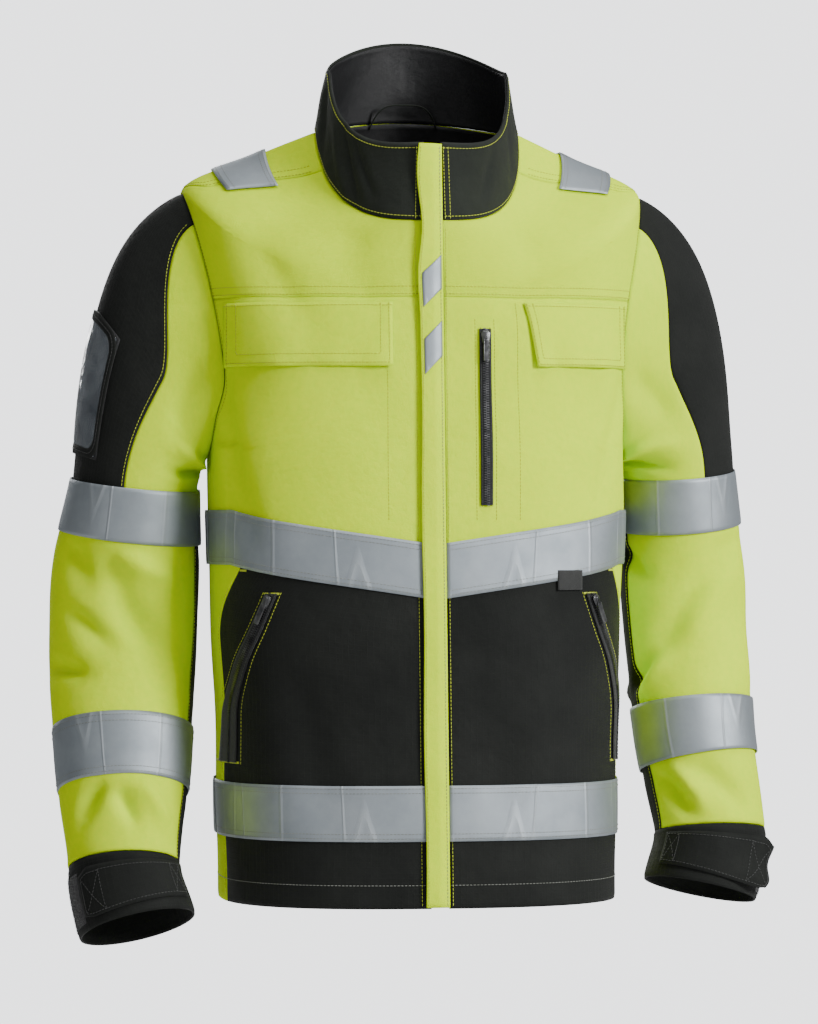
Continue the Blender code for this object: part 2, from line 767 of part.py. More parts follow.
def make_hang_loop():
    """A ribbon loop sewn inside the back of the neck, standing free between its ends."""
    curve = bpy.data.curves.new("hang_loop", "CURVE")
    curve.dimensions = "3D"
    curve.bevel_depth = 0.0016
    curve.bevel_resolution = 2
    curve.use_fill_caps = True
    line = curve.splines.new("POLY")
    half, drop, steps = 0.032, 0.022, 10
    line.points.add(steps)
    for k in range(steps + 1):
        f = 2 * k / steps - 1
        place = Vector((half * f, 0.010 * f * f * f * f, -drop * f * f * f * f - 0.0016))
        line.points[k].co = (*place, 1)
    guide = bpy.data.objects.new("loop_guide", curve)
    PARTS.objects.link(guide)
    bpy.context.view_layer.update()
    mesh = bpy.data.meshes.new_from_object(guide.evaluated_get(bpy.context.evaluated_depsgraph_get()))
    bpy.data.objects.remove(guide, do_unlink=True)
    shape = bmesh.new()
    shape.from_mesh(mesh)
    bmesh.ops.remove_doubles(shape, verts=shape.verts[:], dist=0.00001)
    bmesh.ops.recalc_face_normals(shape, faces=shape.faces[:])
    shape.to_mesh(mesh)
    shape.free()
    mesh.name = "hang_loop"
    mesh.materials.clear()
    add_object("hang_loop", mesh, "black")


clear_scene()
PARTS = collection("work_jacket")
make_fronts()
make_back()
make_collar()
make_lining()
make_body_tapes()
make_pockets()
make_chest_flaps()
make_front_zip()
make_storm_flap()
make_surface_zips()
right_shoulder = make_sleeve("r")
make_sleeve("l")
make_identity_pocket(right_shoulder)
make_hang_loop()
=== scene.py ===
"""The looks of a high-visibility work jacket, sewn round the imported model.

The torso, the collar and each arm are smooth surfaces with two parameters. Folds are heights added to
a surface, so that every layer on it (shell, tape, flap, stitches) follows the same fold.
"""

import math

import bmesh
import bpy
import numpy as np
from mathutils import Matrix, Vector, kdtree


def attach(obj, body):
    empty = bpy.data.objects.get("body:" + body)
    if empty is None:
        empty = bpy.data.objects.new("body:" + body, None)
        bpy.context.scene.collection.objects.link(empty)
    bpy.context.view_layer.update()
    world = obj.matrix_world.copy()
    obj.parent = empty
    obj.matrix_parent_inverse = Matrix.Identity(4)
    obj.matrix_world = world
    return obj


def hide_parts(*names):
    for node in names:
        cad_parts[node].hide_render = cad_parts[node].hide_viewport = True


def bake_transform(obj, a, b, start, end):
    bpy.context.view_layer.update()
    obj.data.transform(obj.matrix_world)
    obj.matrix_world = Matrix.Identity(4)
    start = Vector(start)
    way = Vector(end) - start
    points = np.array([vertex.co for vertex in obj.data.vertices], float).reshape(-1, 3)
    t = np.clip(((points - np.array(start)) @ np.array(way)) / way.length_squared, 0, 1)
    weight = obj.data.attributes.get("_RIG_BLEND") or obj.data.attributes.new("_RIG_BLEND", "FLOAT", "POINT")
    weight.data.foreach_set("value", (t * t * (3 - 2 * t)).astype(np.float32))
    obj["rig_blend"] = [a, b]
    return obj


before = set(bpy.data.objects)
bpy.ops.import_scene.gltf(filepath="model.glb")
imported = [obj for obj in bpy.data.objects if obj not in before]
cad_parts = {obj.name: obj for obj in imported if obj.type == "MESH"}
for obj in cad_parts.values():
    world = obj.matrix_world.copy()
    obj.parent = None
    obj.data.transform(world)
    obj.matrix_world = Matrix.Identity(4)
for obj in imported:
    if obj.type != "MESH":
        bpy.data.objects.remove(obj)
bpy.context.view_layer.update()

# The loop's top is the origin; heights below are above the centre-front hem.
LOOP_Y = 0.072
LOOP_HEIGHT = 0.742

SHELL = 0.001
TRIM = 0.0008
TRIM_LIFT = 0.0012
SHOULDER_LIFT = 0.0022
LINING_LIFT = -0.0062
LINING_NECK_RISE = 0.0040
SHOULDER_TAPE = (0.894, 0.945)
SEAM = 0.00015
CELL = 0.0036

ARMHOLE_LOW = 0.58
ARMHOLE_TOP = 0.85
ARMHOLE_HALF = 27.0
HALF_WIDTH = [(0, 0.183), (0.25, 0.186), (0.45, 0.192), (0.58, 0.193), (0.72, 0.202), (0.85, 0.215),
              (0.93, 0.150), (1, 0.094)]
SIDE_HEIGHT = [(0, 0.0), (0.58, 0.42), (0.72, 0.537), (0.85, 0.652), (0.93, 0.686), (1, 0.708)]
SIDE_Y = [(0, 0.0), (0.58, 0.006), (0.85, 0.030), (0.93, 0.022), (1, -0.005)]
FRONT_HEIGHT = [(0, 0.0), (0.58, 0.405), (0.85, 0.557), (1, 0.621)]
BACK_HEIGHT = [(0, 0.0), (0.58, 0.42), (0.85, 0.610), (1, 0.725)]
BACK_Y = [(0, 0.140), (0.25, 0.136), (0.58, 0.141), (0.72, 0.138), (0.85, 0.124), (1, 0.090)]
SQUARENESS = [(0, 2.6), (0.72, 2.6), (0.85, 2.3), (1, 2.0)]
HEM_FRONT_Y = -0.150
FRONT_LEAN = 0.0725
BACK_HEM_DROP = 0.006
COLLAR_FRONT = 0.071
COLLAR_SIDE = 0.057
COLLAR_BACK = 0.075
COLLAR_TOP_HALF = 0.083
COLLAR_TOP_BACK = 0.080

ARM = {
    "r": [(0.258, 0.036, 0.384, 0.058, 0.065), (0.268, 0.044, 0.270, 0.069, 0.063),
          (0.272, 0.006, 0.130, 0.062, 0.058), (0.274, -0.032, 0.032, 0.051, 0.052),
          (0.2635, -0.052, -0.022, 0.0535, 0.051)],
    "l": [(0.254, 0.036, 0.395, 0.053, 0.063), (0.263, 0.046, 0.280, 0.059, 0.061),
          (0.2695, 0.026, 0.151, 0.055, 0.056), (0.280, 0.004, 0.057, 0.052, 0.051),
          (0.268, -0.006, 0.002, 0.053, 0.050)],
}
UPPER_TAPE = (1.02, 1.46)
LOWER_TAPE = (2.80, 3.28)
SLEEVE_SEAM = 1.24

TAPE_WIDTH = 0.050
YOKE_SEAM = 0.551
BACK_YOKE_SEAM = 0.600
CHEST_TAPE_FRONT = 0.2765
CHEST_TAPE_SIDE = 0.308
HEM_TAPE = 0.060
FLAP_TOP = 0.546
FLAP_BOTTOM = 0.488
FRONT_GAP = 0.0080
SIDE_SEAM_FRONT = 75.0
SIDE_SEAM_BACK = 106.0
CHEST_ZIP_X = 0.0465
CHEST_ZIP = (0.362, 0.522)
HAND_ZIP = [(0.128, 0.179), (0.170, 0.179), (0.215, 0.171), (0.250, 0.158), (0.282, 0.146)]
ZIP_HIGH = 0.684
FLAP_LIFT = 0.0030
FLAP_LEFT, FLAP_RIGHT = -0.0135, 0.0085
TAB_SEWN, TAB_FREE = 150.0, 32.0
TAB_LIFT = 0.0022

# Folds: (depth, half width, points on the fold). A negative depth is a valley.
# On an arm a point is (angle, height); on the torso and the collar it is (angle, fraction up).
ARM_FOLDS = {
    "r": [(-0.0045, 0.013, ((70, 0.318), (95, 0.250), (132, 0.187))),
          (0.0030, 0.011, ((76, 0.322), (118, 0.300))),
          (-0.0028, 0.012, ((28, 0.330), (58, 0.285))),
          (-0.0034, 0.009, ((8, 0.208), (56, 0.192))),
          (0.0034, 0.012, ((112, 0.225), (140, 0.178))),
          (-0.0030, 0.010, ((40, 0.262), (76, 0.215))),
          (-0.0042, 0.009, ((68, 0.096), (40, 0.062))),
          (-0.0034, 0.008, ((80, 0.084), (98, 0.054))),
          (0.0032, 0.009, ((96, 0.094), (132, 0.056))),
          (-0.0040, 0.010, ((170, 0.452), (120, 0.415))),
          (0.0030, 0.012, ((165, 0.490), (112, 0.450))),
          (-0.0030, 0.012, ((95, 0.560), (102, 0.480)))],
    "l": [(-0.0040, 0.015, ((44, 0.336), (84, 0.284), (128, 0.222))),
          (0.0032, 0.014, ((62, 0.305), (104, 0.235))),
          (-0.0032, 0.008, ((168, 0.326), (136, 0.300))),
          (-0.0042, 0.008, ((140, 0.212), (168, 0.192))),
          (0.0030, 0.010, ((120, 0.212), (160, 0.184))),
          (-0.0042, 0.009, ((154, 0.117), (122, 0.071))),
          (-0.0028, 0.011, ((108, 0.110), (58, 0.066))),
          (0.0026, 0.009, ((134, 0.120), (104, 0.072))),
          (-0.0044, 0.010, ((168, 0.470), (112, 0.410))),
          (0.0036, 0.012, ((162, 0.515), (100, 0.440))),
          (-0.0034, 0.012, ((110, 0.590), (92, 0.480)))],
}
TORSO_FOLDS = [(-0.0022, 0.018, ((-34, 0.965), (-14, 0.820))), (-0.0020, 0.016, ((-55, 0.930), (-30, 0.760))),
               (-0.0020, 0.018, ((40, 0.950), (18, 0.800))), (-0.0018, 0.016, ((-62, 0.60), (-50, 0.45))),
               (-0.0020, 0.014, ((62, 0.66), (48, 0.50))), (-0.0026, 0.014, ((-66, 0.70), (-60, 0.50))),
               (-0.0020, 0.020, ((-40, 0.30), (-30, 0.10))), (0.0018, 0.020, ((30, 0.32), (26, 0.10))),
               (-0.0030, 0.024, ((120, 0.70), (150, 0.45))), (-0.0030, 0.024, ((240, 0.70), (212, 0.45))),
               (-0.0024, 0.024, ((165, 0.40), (170, 0.05))), (-0.0024, 0.022, ((205, 0.38), (198, 0.04)))]
COLLAR_FOLDS = [(-0.0024, 0.005, ((-62, 0.95), (-44, 0.10))), (-0.0018, 0.004, ((-52, 0.90), (-34, 0.25))),
                (0.0014, 0.005, ((-70, 0.70), (-52, 0.05))), (-0.0016, 0.006, ((30, 0.20), (44, 0.85))),
                (-0.0014, 0.006, ((62, 0.20), (70, 0.90))), (-0.0018, 0.007, ((-88, 0.90), (-76, 0.10)))]


def mix(a, b, t):
    return a + (b - a) * t


def ease(t):
    t = np.clip(t, 0.0, 1.0)
    return t * t * (3 - 2 * t)


TABLES = {}


def along(keys, t):
    """Values at t on a smooth curve through (t, value) keys that doesn't overshoot them."""
    if str(keys) not in TABLES:
        fine = np.linspace(keys[0][0], keys[-1][0], 3001)
        TABLES[str(keys)] = fine, smooth_through(keys, fine)
    return np.interp(t, *TABLES[str(keys)])


def smooth_through(keys, t):
    at = np.array([k[0] for k in keys], float)
    value = np.array([k[1] for k in keys], float)
    slope = np.diff(value) / np.diff(at)
    tangent = np.empty(len(keys))
    tangent[0], tangent[-1] = slope[0], slope[-1]
    product = slope[:-1] * slope[1:]
    total = slope[:-1] + slope[1:]
    tangent[1:-1] = np.where(product > 0, 2 * product / np.where(total == 0, 1, total), 0)
    k = np.clip(np.searchsorted(at, t) - 1, 0, len(at) - 2)
    step = at[k + 1] - at[k]
    f = (t - at[k]) / step
    return (value[k] * (1 + 2 * f) * (1 - f) ** 2 + step * tangent[k] * f * (1 - f) ** 2
            + value[k + 1] * f * f * (3 - 2 * f) + step * tangent[k + 1] * f * f * (f - 1))


def point(x, y, height):
    x, y, height = np.broadcast_arrays(x, y, height)
    return np.stack([x, y - LOOP_Y, height - LOOP_HEIGHT], axis=-1)


def unit(a):
    return a / np.maximum(np.linalg.norm(a, axis=-1, keepdims=True), 1e-12)


def sign(side):
    return -1 if side == "r" else 1


def ripple(p, q, seed, rough=1.0):
    """A few slow waves, for the small unevenness that cloth always has."""
    random = np.random.default_rng(seed)
    total = 0.0
    for _ in range(5):
        a, b = random.uniform(-1, 1, 2) * (2 * math.pi / 0.10) * rough
        total = total + np.sin(a * p + b * q + random.uniform(0, 6.28))
    return total / 5


def crease(p, q, folds):
    """The height that folds add at places p, q in metres. Each fold fades out at its two ends."""
    total = np.zeros(np.broadcast(p, q).shape)
    for depth, width, line in folds:
        best, share = np.full(total.shape, 1e9), np.zeros(total.shape)
        lengths = [math.dist(a, b) for a, b in zip(line, line[1:])]
        done = 0.0
        for (a, b), length in zip(zip(line, line[1:]), lengths):
            run = np.array(b) - np.array(a)
            f = np.clip(((p - a[0]) * run[0] + (q - a[1]) * run[1]) / (run @ run), 0, 1)
            away = np.hypot(p - a[0] - f * run[0], q - a[1] - f * run[1])
            nearer = away < best
            best = np.where(nearer, away, best)
            share = np.where(nearer, (done + f * length) / sum(lengths), share)
            done += length
        fade = 0.30 + 0.70 * np.sin(np.pi * np.clip(share, 0, 1)) ** 0.7
        total += depth * fade * np.exp(-((best / width) ** 2))
    return total


class Torso:
    """u is the angle round from centre front, positive to the wearer's left; v goes up from the hem."""

    def base(self, u, v):
        sine, cosine = np.sin(np.radians(u)), np.cos(np.radians(u))
        power = along(SQUARENESS, v)
        reach = (np.abs(sine) ** power + np.abs(cosine) ** power) ** (-1 / power)
        x = along(HALF_WIDTH, v) * sine * reach
        ahead = np.abs(cosine) * reach
        side_y, side_height = along(SIDE_Y, v), along(SIDE_HEIGHT, v)
        front = cosine > 0
        end = np.where(front, along(FRONT_HEIGHT, v), along(BACK_HEIGHT, v))
        scooped = mix(ahead ** 1.7, 1 - (1 - np.minimum(ahead, 1)) ** 1.6, ease((v - 0.85) / 0.15))
        height = mix(side_height, end, np.where(front, scooped, ahead ** 1.7))
        height = height - np.where(front, 0, BACK_HEM_DROP * ahead * np.maximum(0, 1 - 3 * v))
        end_y = np.where(front, HEM_FRONT_Y + FRONT_LEAN * height, along(BACK_Y, v))
        return point(x, mix(side_y, end_y, ahead), height)

    def inside(self, u, v):
        place = self.base(u, v)
        return np.stack([0 * place[..., 0], 0 * place[..., 1] - LOOP_Y, place[..., 2] - 0.02], axis=-1)

    def folds(self, u, v):
        turn = (u + 180) % 360 - 180
        folds = [(d, w, [(math.radians(a if a <= 180 else a - 360) * 0.17, b * 0.66) for a, b in line])
                 for d, w, line in TORSO_FOLDS]
        p, q = np.radians(turn) * 0.17, v * 0.66
        calm = ease((np.abs(turn) - 4) / 14) * ease((1.0 - v) / 0.06) * ease((v - 0.01) / 0.08 + 0.35)
        return (2.2 * crease(p, q, folds) + 0.0018 * ripple(p, q, 3)) * calm


class Collar:
    """u as on the torso; w goes from the neck seam to the rim."""

    def base(self, u, w):
        foot = TORSO.base(u, np.ones_like(w * 1.0))
        sine, cosine = np.sin(np.radians(u)), np.cos(np.radians(u))
        front_foot = TORSO.base(np.array(0.0), np.array(1.0))
        front = cosine > 0
        rise = np.where(front, COLLAR_FRONT, COLLAR_BACK)
        height = foot[..., 2] + mix(COLLAR_SIDE, rise, np.abs(cosine) ** 1.5)
        end_y = np.where(front, front_foot[1] + FRONT_LEAN * COLLAR_FRONT, COLLAR_TOP_BACK - LOOP_Y)
        y = mix(-0.010 - LOOP_Y, end_y, np.abs(cosine))
        rim = np.stack(np.broadcast_arrays(COLLAR_TOP_HALF * sine, y, height), axis=-1)
        return foot + (rim - foot) * np.asarray(w)[..., None]

    def inside(self, u, w):
        place = self.base(u, w)
        return np.stack([0 * place[..., 0], 0 * place[..., 1] - 0.010 - LOOP_Y, place[..., 2]], axis=-1)

    def folds(self, u, w):
        turn = (u + 180) % 360 - 180
        folds = [(d, k, [(math.radians(a) * 0.09, b * 0.074) for a, b in line]) for d, k, line in COLLAR_FOLDS]
        p, q = np.radians(turn) * 0.09, w * 0.074
        calm = ease((np.abs(turn) - 7) / 10)
        return (1.3 * crease(p, q, folds) + 0.0008 * ripple(p, q, 8, 2.0)) * calm


class Arm:
    """a is 0 on the outer side and 90 at the front; t is 0 at the armhole, 1 at the upper tape."""

    def __init__(self, side):
        self.side = side
        self.columns = [[(k + 1, row[n]) for k, row in enumerate(ARM[side])] for n in range(5)]

    def station(self, t):
        x, y, height, wide, deep = [along(column, t) for column in self.columns]
        return point(sign(self.side) * x, y, height), wide[..., None], deep[..., None]

    def ring(self, a, t):
        centre, wide, deep = self.station(t)
        low, high = self.station(np.minimum(t + 0.05, 5.0))[0], self.station(np.maximum(t - 0.05, 1.0))[0]
        down = unit(low - high)
        out = np.zeros_like(down)
        out[..., 0] = sign(self.side)
        out = unit(out - down * (out * down).sum(-1, keepdims=True))
        front = np.zeros_like(down)
        front[..., 1] = -1
        front -= down * (front * down).sum(-1, keepdims=True) + out * (front * out).sum(-1, keepdims=True)
        angle = np.radians(a)[..., None]
        return centre + out * wide * np.cos(angle) + unit(front) * deep * np.sin(angle), centre, down

    def armhole(self, a):
        v = mix(ARMHOLE_LOW, ARMHOLE_TOP, (1 + np.cos(np.radians(a))) / 2)
        return sign(self.side) * (90 - ARMHOLE_HALF * np.sin(np.radians(a))), v

    def base(self, a, t):
        a, t = np.broadcast_arrays(np.asarray(a, float), np.asarray(t, float))
        end, centre, down = self.ring(a, np.maximum(t, 1.0))
        u, v = self.armhole(a)
        start = lifted(TORSO, u, v, -0.0004)
        chord = np.linalg.norm(end - start, axis=-1, keepdims=True)
        over = (1 + np.cos(np.radians(a))) / 2
        leave = unit(np.stack([sign(self.side) * (0.10 + 0.80 * over), 0 * over, -1 + 0.62 * over], axis=-1))
        f = np.minimum(t, 1.0)[..., None]
        cap = (start * (1 + 2 * f) * (1 - f) ** 2 + leave * chord * f * (1 - f) ** 2
               + end * f * f * (3 - 2 * f) - down * chord * f * f * (1 - f))
        return np.where(f < 1, cap, end)

    def inside(self, a, t):
        a, t = np.broadcast_arrays(np.asarray(a, float), np.asarray(t, float))
        centre = self.station(np.maximum(t, 1.0))[0]
        root = point(sign(self.side) * 0.205, 0.012, 0.53)
        return mix(root, centre, ease(t)[..., None])

    def height(self, t):
        """Roughly how high a place on the sleeve is, from the shoulder down."""
        return np.where(t < 1, mix(0.60, self.columns[2][0][1], t), along(self.columns[2], np.maximum(t, 1)))

    def folds(self, a, t):
        a, t = np.broadcast_arrays(np.asarray(a, float), np.asarray(t, float))
        turn = (a + 180) % 360 - 180
        folds = [(d, w, [(math.radians(x) * 0.056, y) for x, y in line]) for d, w, line in ARM_FOLDS[self.side]]
        p, q = np.radians(turn) * 0.056, self.height(t)
        behind = [(d, w, [(-x, y) for x, y in line]) for d, w, line in folds[::2]]
        calm = ease(t / 0.25) * (1 - 0.75 * band(t, *UPPER_TAPE)) * (1 - 0.75 * band(t, *LOWER_TAPE))
        calm = calm * (1 - 0.8 * ease((t - 3.85) / 0.15))
        wave = 0.0012 * ripple(p, q, 11 if self.side == "r" else 12, 1.2)
        return (2.5 * (crease(p, q, folds) + crease(p, q, behind)) + wave) * calm


def band(t, low, high):
    """1 between low and high, easing to 0 just outside."""
    return ease((t - low + 0.15) / 0.15) * ease((high + 0.15 - t) / 0.15)


def folded(surface, p, q):
    place = surface.base(p, q)
    return place + unit(place - surface.inside(p, q)) * surface.folds(p, q)[..., None]


def outward(make, surface, p, q):
    """The unit normal of a surface, pointing away from the wearer."""
    step_p, step_q = 0.25, 0.0015
    top = 1.0 if surface in (TORSO, COLLAR) else 5.0
    p, q = np.broadcast_arrays(np.asarray(p, float), np.asarray(q, float))
    across = make(p + step_p, q) - make(p - step_p, q)
    up = make(p, np.minimum(q + step_q, top)) - make(p, np.maximum(q - step_q, 0.0))
    found = unit(np.cross(across, up))
    away = ((surface.base(p, q) - surface.inside(p, q)) * found).sum(-1, keepdims=True)
    return np.where(away < 0, -found, found)


def lifted(surface, p, q, lift):
    """Places on a folded surface, raised square to it."""
    p, q = np.broadcast_arrays(np.asarray(p, float), np.asarray(q, float))

    def make(a, b):
        return folded(surface, a, b)

    lift = np.asarray(lift, float)
    return make(p, q) + outward(make, surface, p, q) * lift[..., None]


TORSO, COLLAR = Torso(), Collar()
ARMS = {side: Arm(side) for side in "rl"}


def level_table():
    """For each half degree round the torso, the v of each height in steps of half a millimetre."""
    around, up, heights = np.linspace(0, 180, 361), np.linspace(0, 1, 801), np.linspace(-0.01, 0.74, 1501)
    grid = TORSO.base(*np.meshgrid(around, up, indexing="ij"))[..., 2] + LOOP_HEIGHT
    return np.stack([np.interp(heights, row_, up) for row_ in grid])


LEVELS = level_table()


def level(u, height):
    """The v at which the torso at angle u is this high above the hem."""
    u, height = np.broadcast_arrays(np.asarray(u, float), np.asarray(height, float))
    a = np.abs((u + 180) % 360 - 180) * 2
    b = np.clip((height + 0.01) / 0.0005, 0, 1499.999)
    i, j = np.clip(a.astype(int), 0, 359), b.astype(int)
    f, g = a - i, b - j
    return mix(mix(LEVELS[i, j], LEVELS[i + 1, j], f), mix(LEVELS[i, j + 1], LEVELS[i + 1, j + 1], f), g)


def angle_at(x, height):
    """The angle and v at which the front of the torso is this far from the centre line."""
    x, height = np.broadcast_arrays(np.asarray(x, float), np.asarray(height, float))
    v = level(np.full(x.shape, 30.0), height)
    for _ in range(4):
        low, high = np.zeros(x.shape), np.full(x.shape, 90.0)
        for _ in range(15):
            u = (low + high) / 2
            short = TORSO.base(u, v)[..., 0] < np.abs(x)
            low, high = np.where(short, u, low), np.where(short, high, u)
        v = level(u, height)
    return np.copysign(u, x), v


def armhole_half(v):
    t = np.clip((v - ARMHOLE_LOW) / (ARMHOLE_TOP - ARMHOLE_LOW), 0, 1)
    return ARMHOLE_HALF * 2 * np.sqrt(t * (1 - t))


def shoulder_seam(v):
    return 90 - 14 * ease((v - ARMHOLE_TOP) / 0.035) - 3 * ease((v - 0.88) / 0.12)


def front_edge(v):
    return np.where(v < ARMHOLE_TOP, 90 - armhole_half(v), shoulder_seam(v))


def tape_low(u):
    return mix(CHEST_TAPE_FRONT, CHEST_TAPE_SIDE, np.minimum(np.abs(u) / 62.0, 1.0))


def placket_edge(v):
    return np.degrees(np.arcsin(FRONT_GAP / along(HALF_WIDTH, v)))


def pocket_panel_edge(v):
    return SIDE_SEAM_FRONT - 20 * ease((v - 0.335) / 0.12)


def back_edge(v):
    return np.where(v < ARMHOLE_TOP, 90 + armhole_half(v), shoulder_seam(v)) + SEAM * 400


def patch(low, high, turn, inner, outer):
    """A chart whose rows run between two height functions and its columns between two edges."""

    def chart(s, r):
        v = np.full(np.shape(s), 0.4)
        u = mix(inner(v), outer(v), s)
        for _ in range(4):
            bottom = level(u, low(u))
            v = mix(bottom, level(u, high(u)) if high else 1.0, r)
            u = mix(inner(v), outer(v), s)
        return turn * u, v

    return chart


def front_patch(x0, x1, low, high, slant=0.0):
    """A chart for a patch of the front between two distances from the centre line."""

    def chart(s, r):
        height = mix(low, high, r)
        return angle_at(mix(x0, x1, s) + slant * (r - 1) * (1 - s), height)

    return chart


def tube(low, high):
    return lambda s, r: (360 * s, mix(low, high, r))


# Making pieces.

MATERIALS = {}
SHEETS = []
SLEEVE_TOPS = {}


def add_mesh(name, verts, faces, material, uv=None):
    mesh = bpy.data.meshes.new(name)
    mesh.from_pydata([tuple(v) for v in verts], [], faces)
    if uv is not None:
        layer = mesh.uv_layers.new(name="cloth")
        loops = np.empty(len(mesh.loops), np.int32)
        mesh.loops.foreach_get("vertex_index", loops)
        layer.data.foreach_set("uv", uv[loops].astype(np.float32).ravel())
    mesh.materials.append(MATERIALS[material])
    mesh.shade_smooth()
    made = bpy.data.objects.new(name, mesh)
    bpy.context.scene.collection.objects.link(made)
    return made


def settle(made, body, material, *nodes):
    """Puts a finished piece on its body, in place of its CAD nodes."""
    if body.startswith("top_"):
        side = body[-1]
        across = sign(side) * Vector((0.01, 0, 0))
        start = Vector(tuple(point(sign(side) * 0.2, 0.03, 0.6)))
        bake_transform(made, "root", f"sleeve_{side}", start=start, end=start + across)
        places, weights = SLEEVE_TOPS[side]
        tree = kdtree.KDTree(len(places))
        for n, place in enumerate(places):
            tree.insert(place, n)
        tree.balance()
        found = [weights[tree.find(v.co)[1]] for v in made.data.vertices]
        made.data.attributes["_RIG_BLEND"].data.foreach_set("value", np.array(found, np.float32))
    else:
        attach(made, body)
    if nodes:
        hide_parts(*nodes)
    return made


def declare_sheet(name, verts, faces, ring):
    """Adds to SHEETS the size the cloth was cut to: its longest row, and its longest column, shortened where its area
    shows a tapering cut.
    """
    across = np.linalg.norm(np.diff(verts, axis=1), axis=-1).sum(1).max()
    down = np.linalg.norm(np.diff(verts, axis=0), axis=-1).sum(0).max()
    if ring:
        across += np.linalg.norm(verts[:, 0] - verts[:, -1], axis=-1).max()
    if min(across, down) < 0.012:
        return
    corner = verts.reshape(-1, 3)[faces]
    area = 0.5 * sum(np.linalg.norm(np.cross(corner[:, n] - corner[:, 0], corner[:, n + 1] - corner[:, 0]),
                                    axis=-1).sum() for n in (1, 2))
    # A tapering cut fills at least a third of the rectangle it comes from.
    size = (round(float(across), 3), round(float(min(down, area / (0.36 * across))), 3))
    SHEETS.append((name, *size))


def cloth(name, surface, chart, lift, material, body="root", thick=SHELL, ring=False, dip=0.0006,
          cell=CELL, nodes=None, swell=None):
    """Cloth over a patch of a surface, drawn in a little along its edges, where it is sewn.

    chart turns fractions across and up the cloth into a place on the surface. swell adds its own height.
    """
    probe = np.meshgrid(np.linspace(0, 1, 13), np.linspace(0, 1, 13))
    rough = surface.base(*chart(*probe))
    width = np.linalg.norm(np.diff(rough, axis=1), axis=-1).sum(1).max()
    length = np.linalg.norm(np.diff(rough, axis=0), axis=-1).sum(0).max()
    columns, rows = max(5, round(width / cell)), max(4, round(length / cell))
    count = columns if ring else columns + 1
    s, r = np.meshgrid(np.arange(count) / columns, np.linspace(0, 1, rows + 1))
    p, q = chart(s, r)
    edge = np.minimum(r, 1 - r) * length
    if not ring:
        edge = np.minimum(edge, np.minimum(s, 1 - s) * width)
    height = lift + thick - dip * np.exp(-((edge / 0.0024) ** 2))
    if swell is not None:
        height = height + swell(s, r)
    verts = lifted(surface, p, q, height)
    j, i = np.meshgrid(np.arange(rows), np.arange(columns), indexing="ij")
    a, b = j * count + i, j * count + (i + 1) % count
    faces = np.stack([a, b, b + count, a + count], axis=-1).reshape(-1, 4)
    corner = verts.reshape(-1, 3)[faces[len(faces) // 2]]
    facing = np.cross(corner[1] - corner[0], corner[3] - corner[0])
    middle = (rows // 2, columns // 2)
    if facing @ outward(surface.base, surface, p[middle], q[middle]) < 0:
        faces = faces[:, ::-1]
    uv = np.stack([s * width, r * length], axis=-1).reshape(-1, 2)
    made = add_mesh(f"{name}_cloth", verts.reshape(-1, 3), faces.tolist(), material, uv)
    wall = made.modifiers.new("Thickness", "SOLIDIFY")
    wall.thickness = thick
    wall.offset = -1
    if body.startswith("top_"):
        known = SLEEVE_TOPS.setdefault(body[-1], ([], []))
        known[0].extend(map(tuple, verts.reshape(-1, 3)))
        known[1].extend(ease(q / 0.98).reshape(-1))
    settle(made, body, material, *([name] if nodes is None else nodes))
    declare_sheet(name, verts, faces, ring)
    return made


# Rows of stitches and zip teeth, laid along lines by two node trees.

ROWS = {}
TEETH = {}


def row(surface, p, q, body="root", thread="lime_thread", lift=0.0001, kind="stitch", step=0.003):
    """Remembers a row of stitching. p and q are its places on the surface, in order."""
    p, q = np.broadcast_arrays(np.asarray(p, float), np.asarray(q, float))
    rough = lifted(surface, p, q, lift)
    far = np.concatenate([[0], np.cumsum(np.linalg.norm(np.diff(rough, axis=0), axis=-1))])
    if far[-1] < step:
        return
    at = np.linspace(0, far[-1], max(2, round(far[-1] / step) + 1))
    p, q = np.interp(at, far, p), np.interp(at, far, q)
    places = lifted(surface, p, q, lift)
    line(places, outward(surface.base, surface, p, q), body, thread, kind)


def line(places, out, body="root", thread="lime_thread", kind="stitch"):
    ROWS.setdefault((body, thread, kind), []).append((places, np.broadcast_to(out, places.shape)))


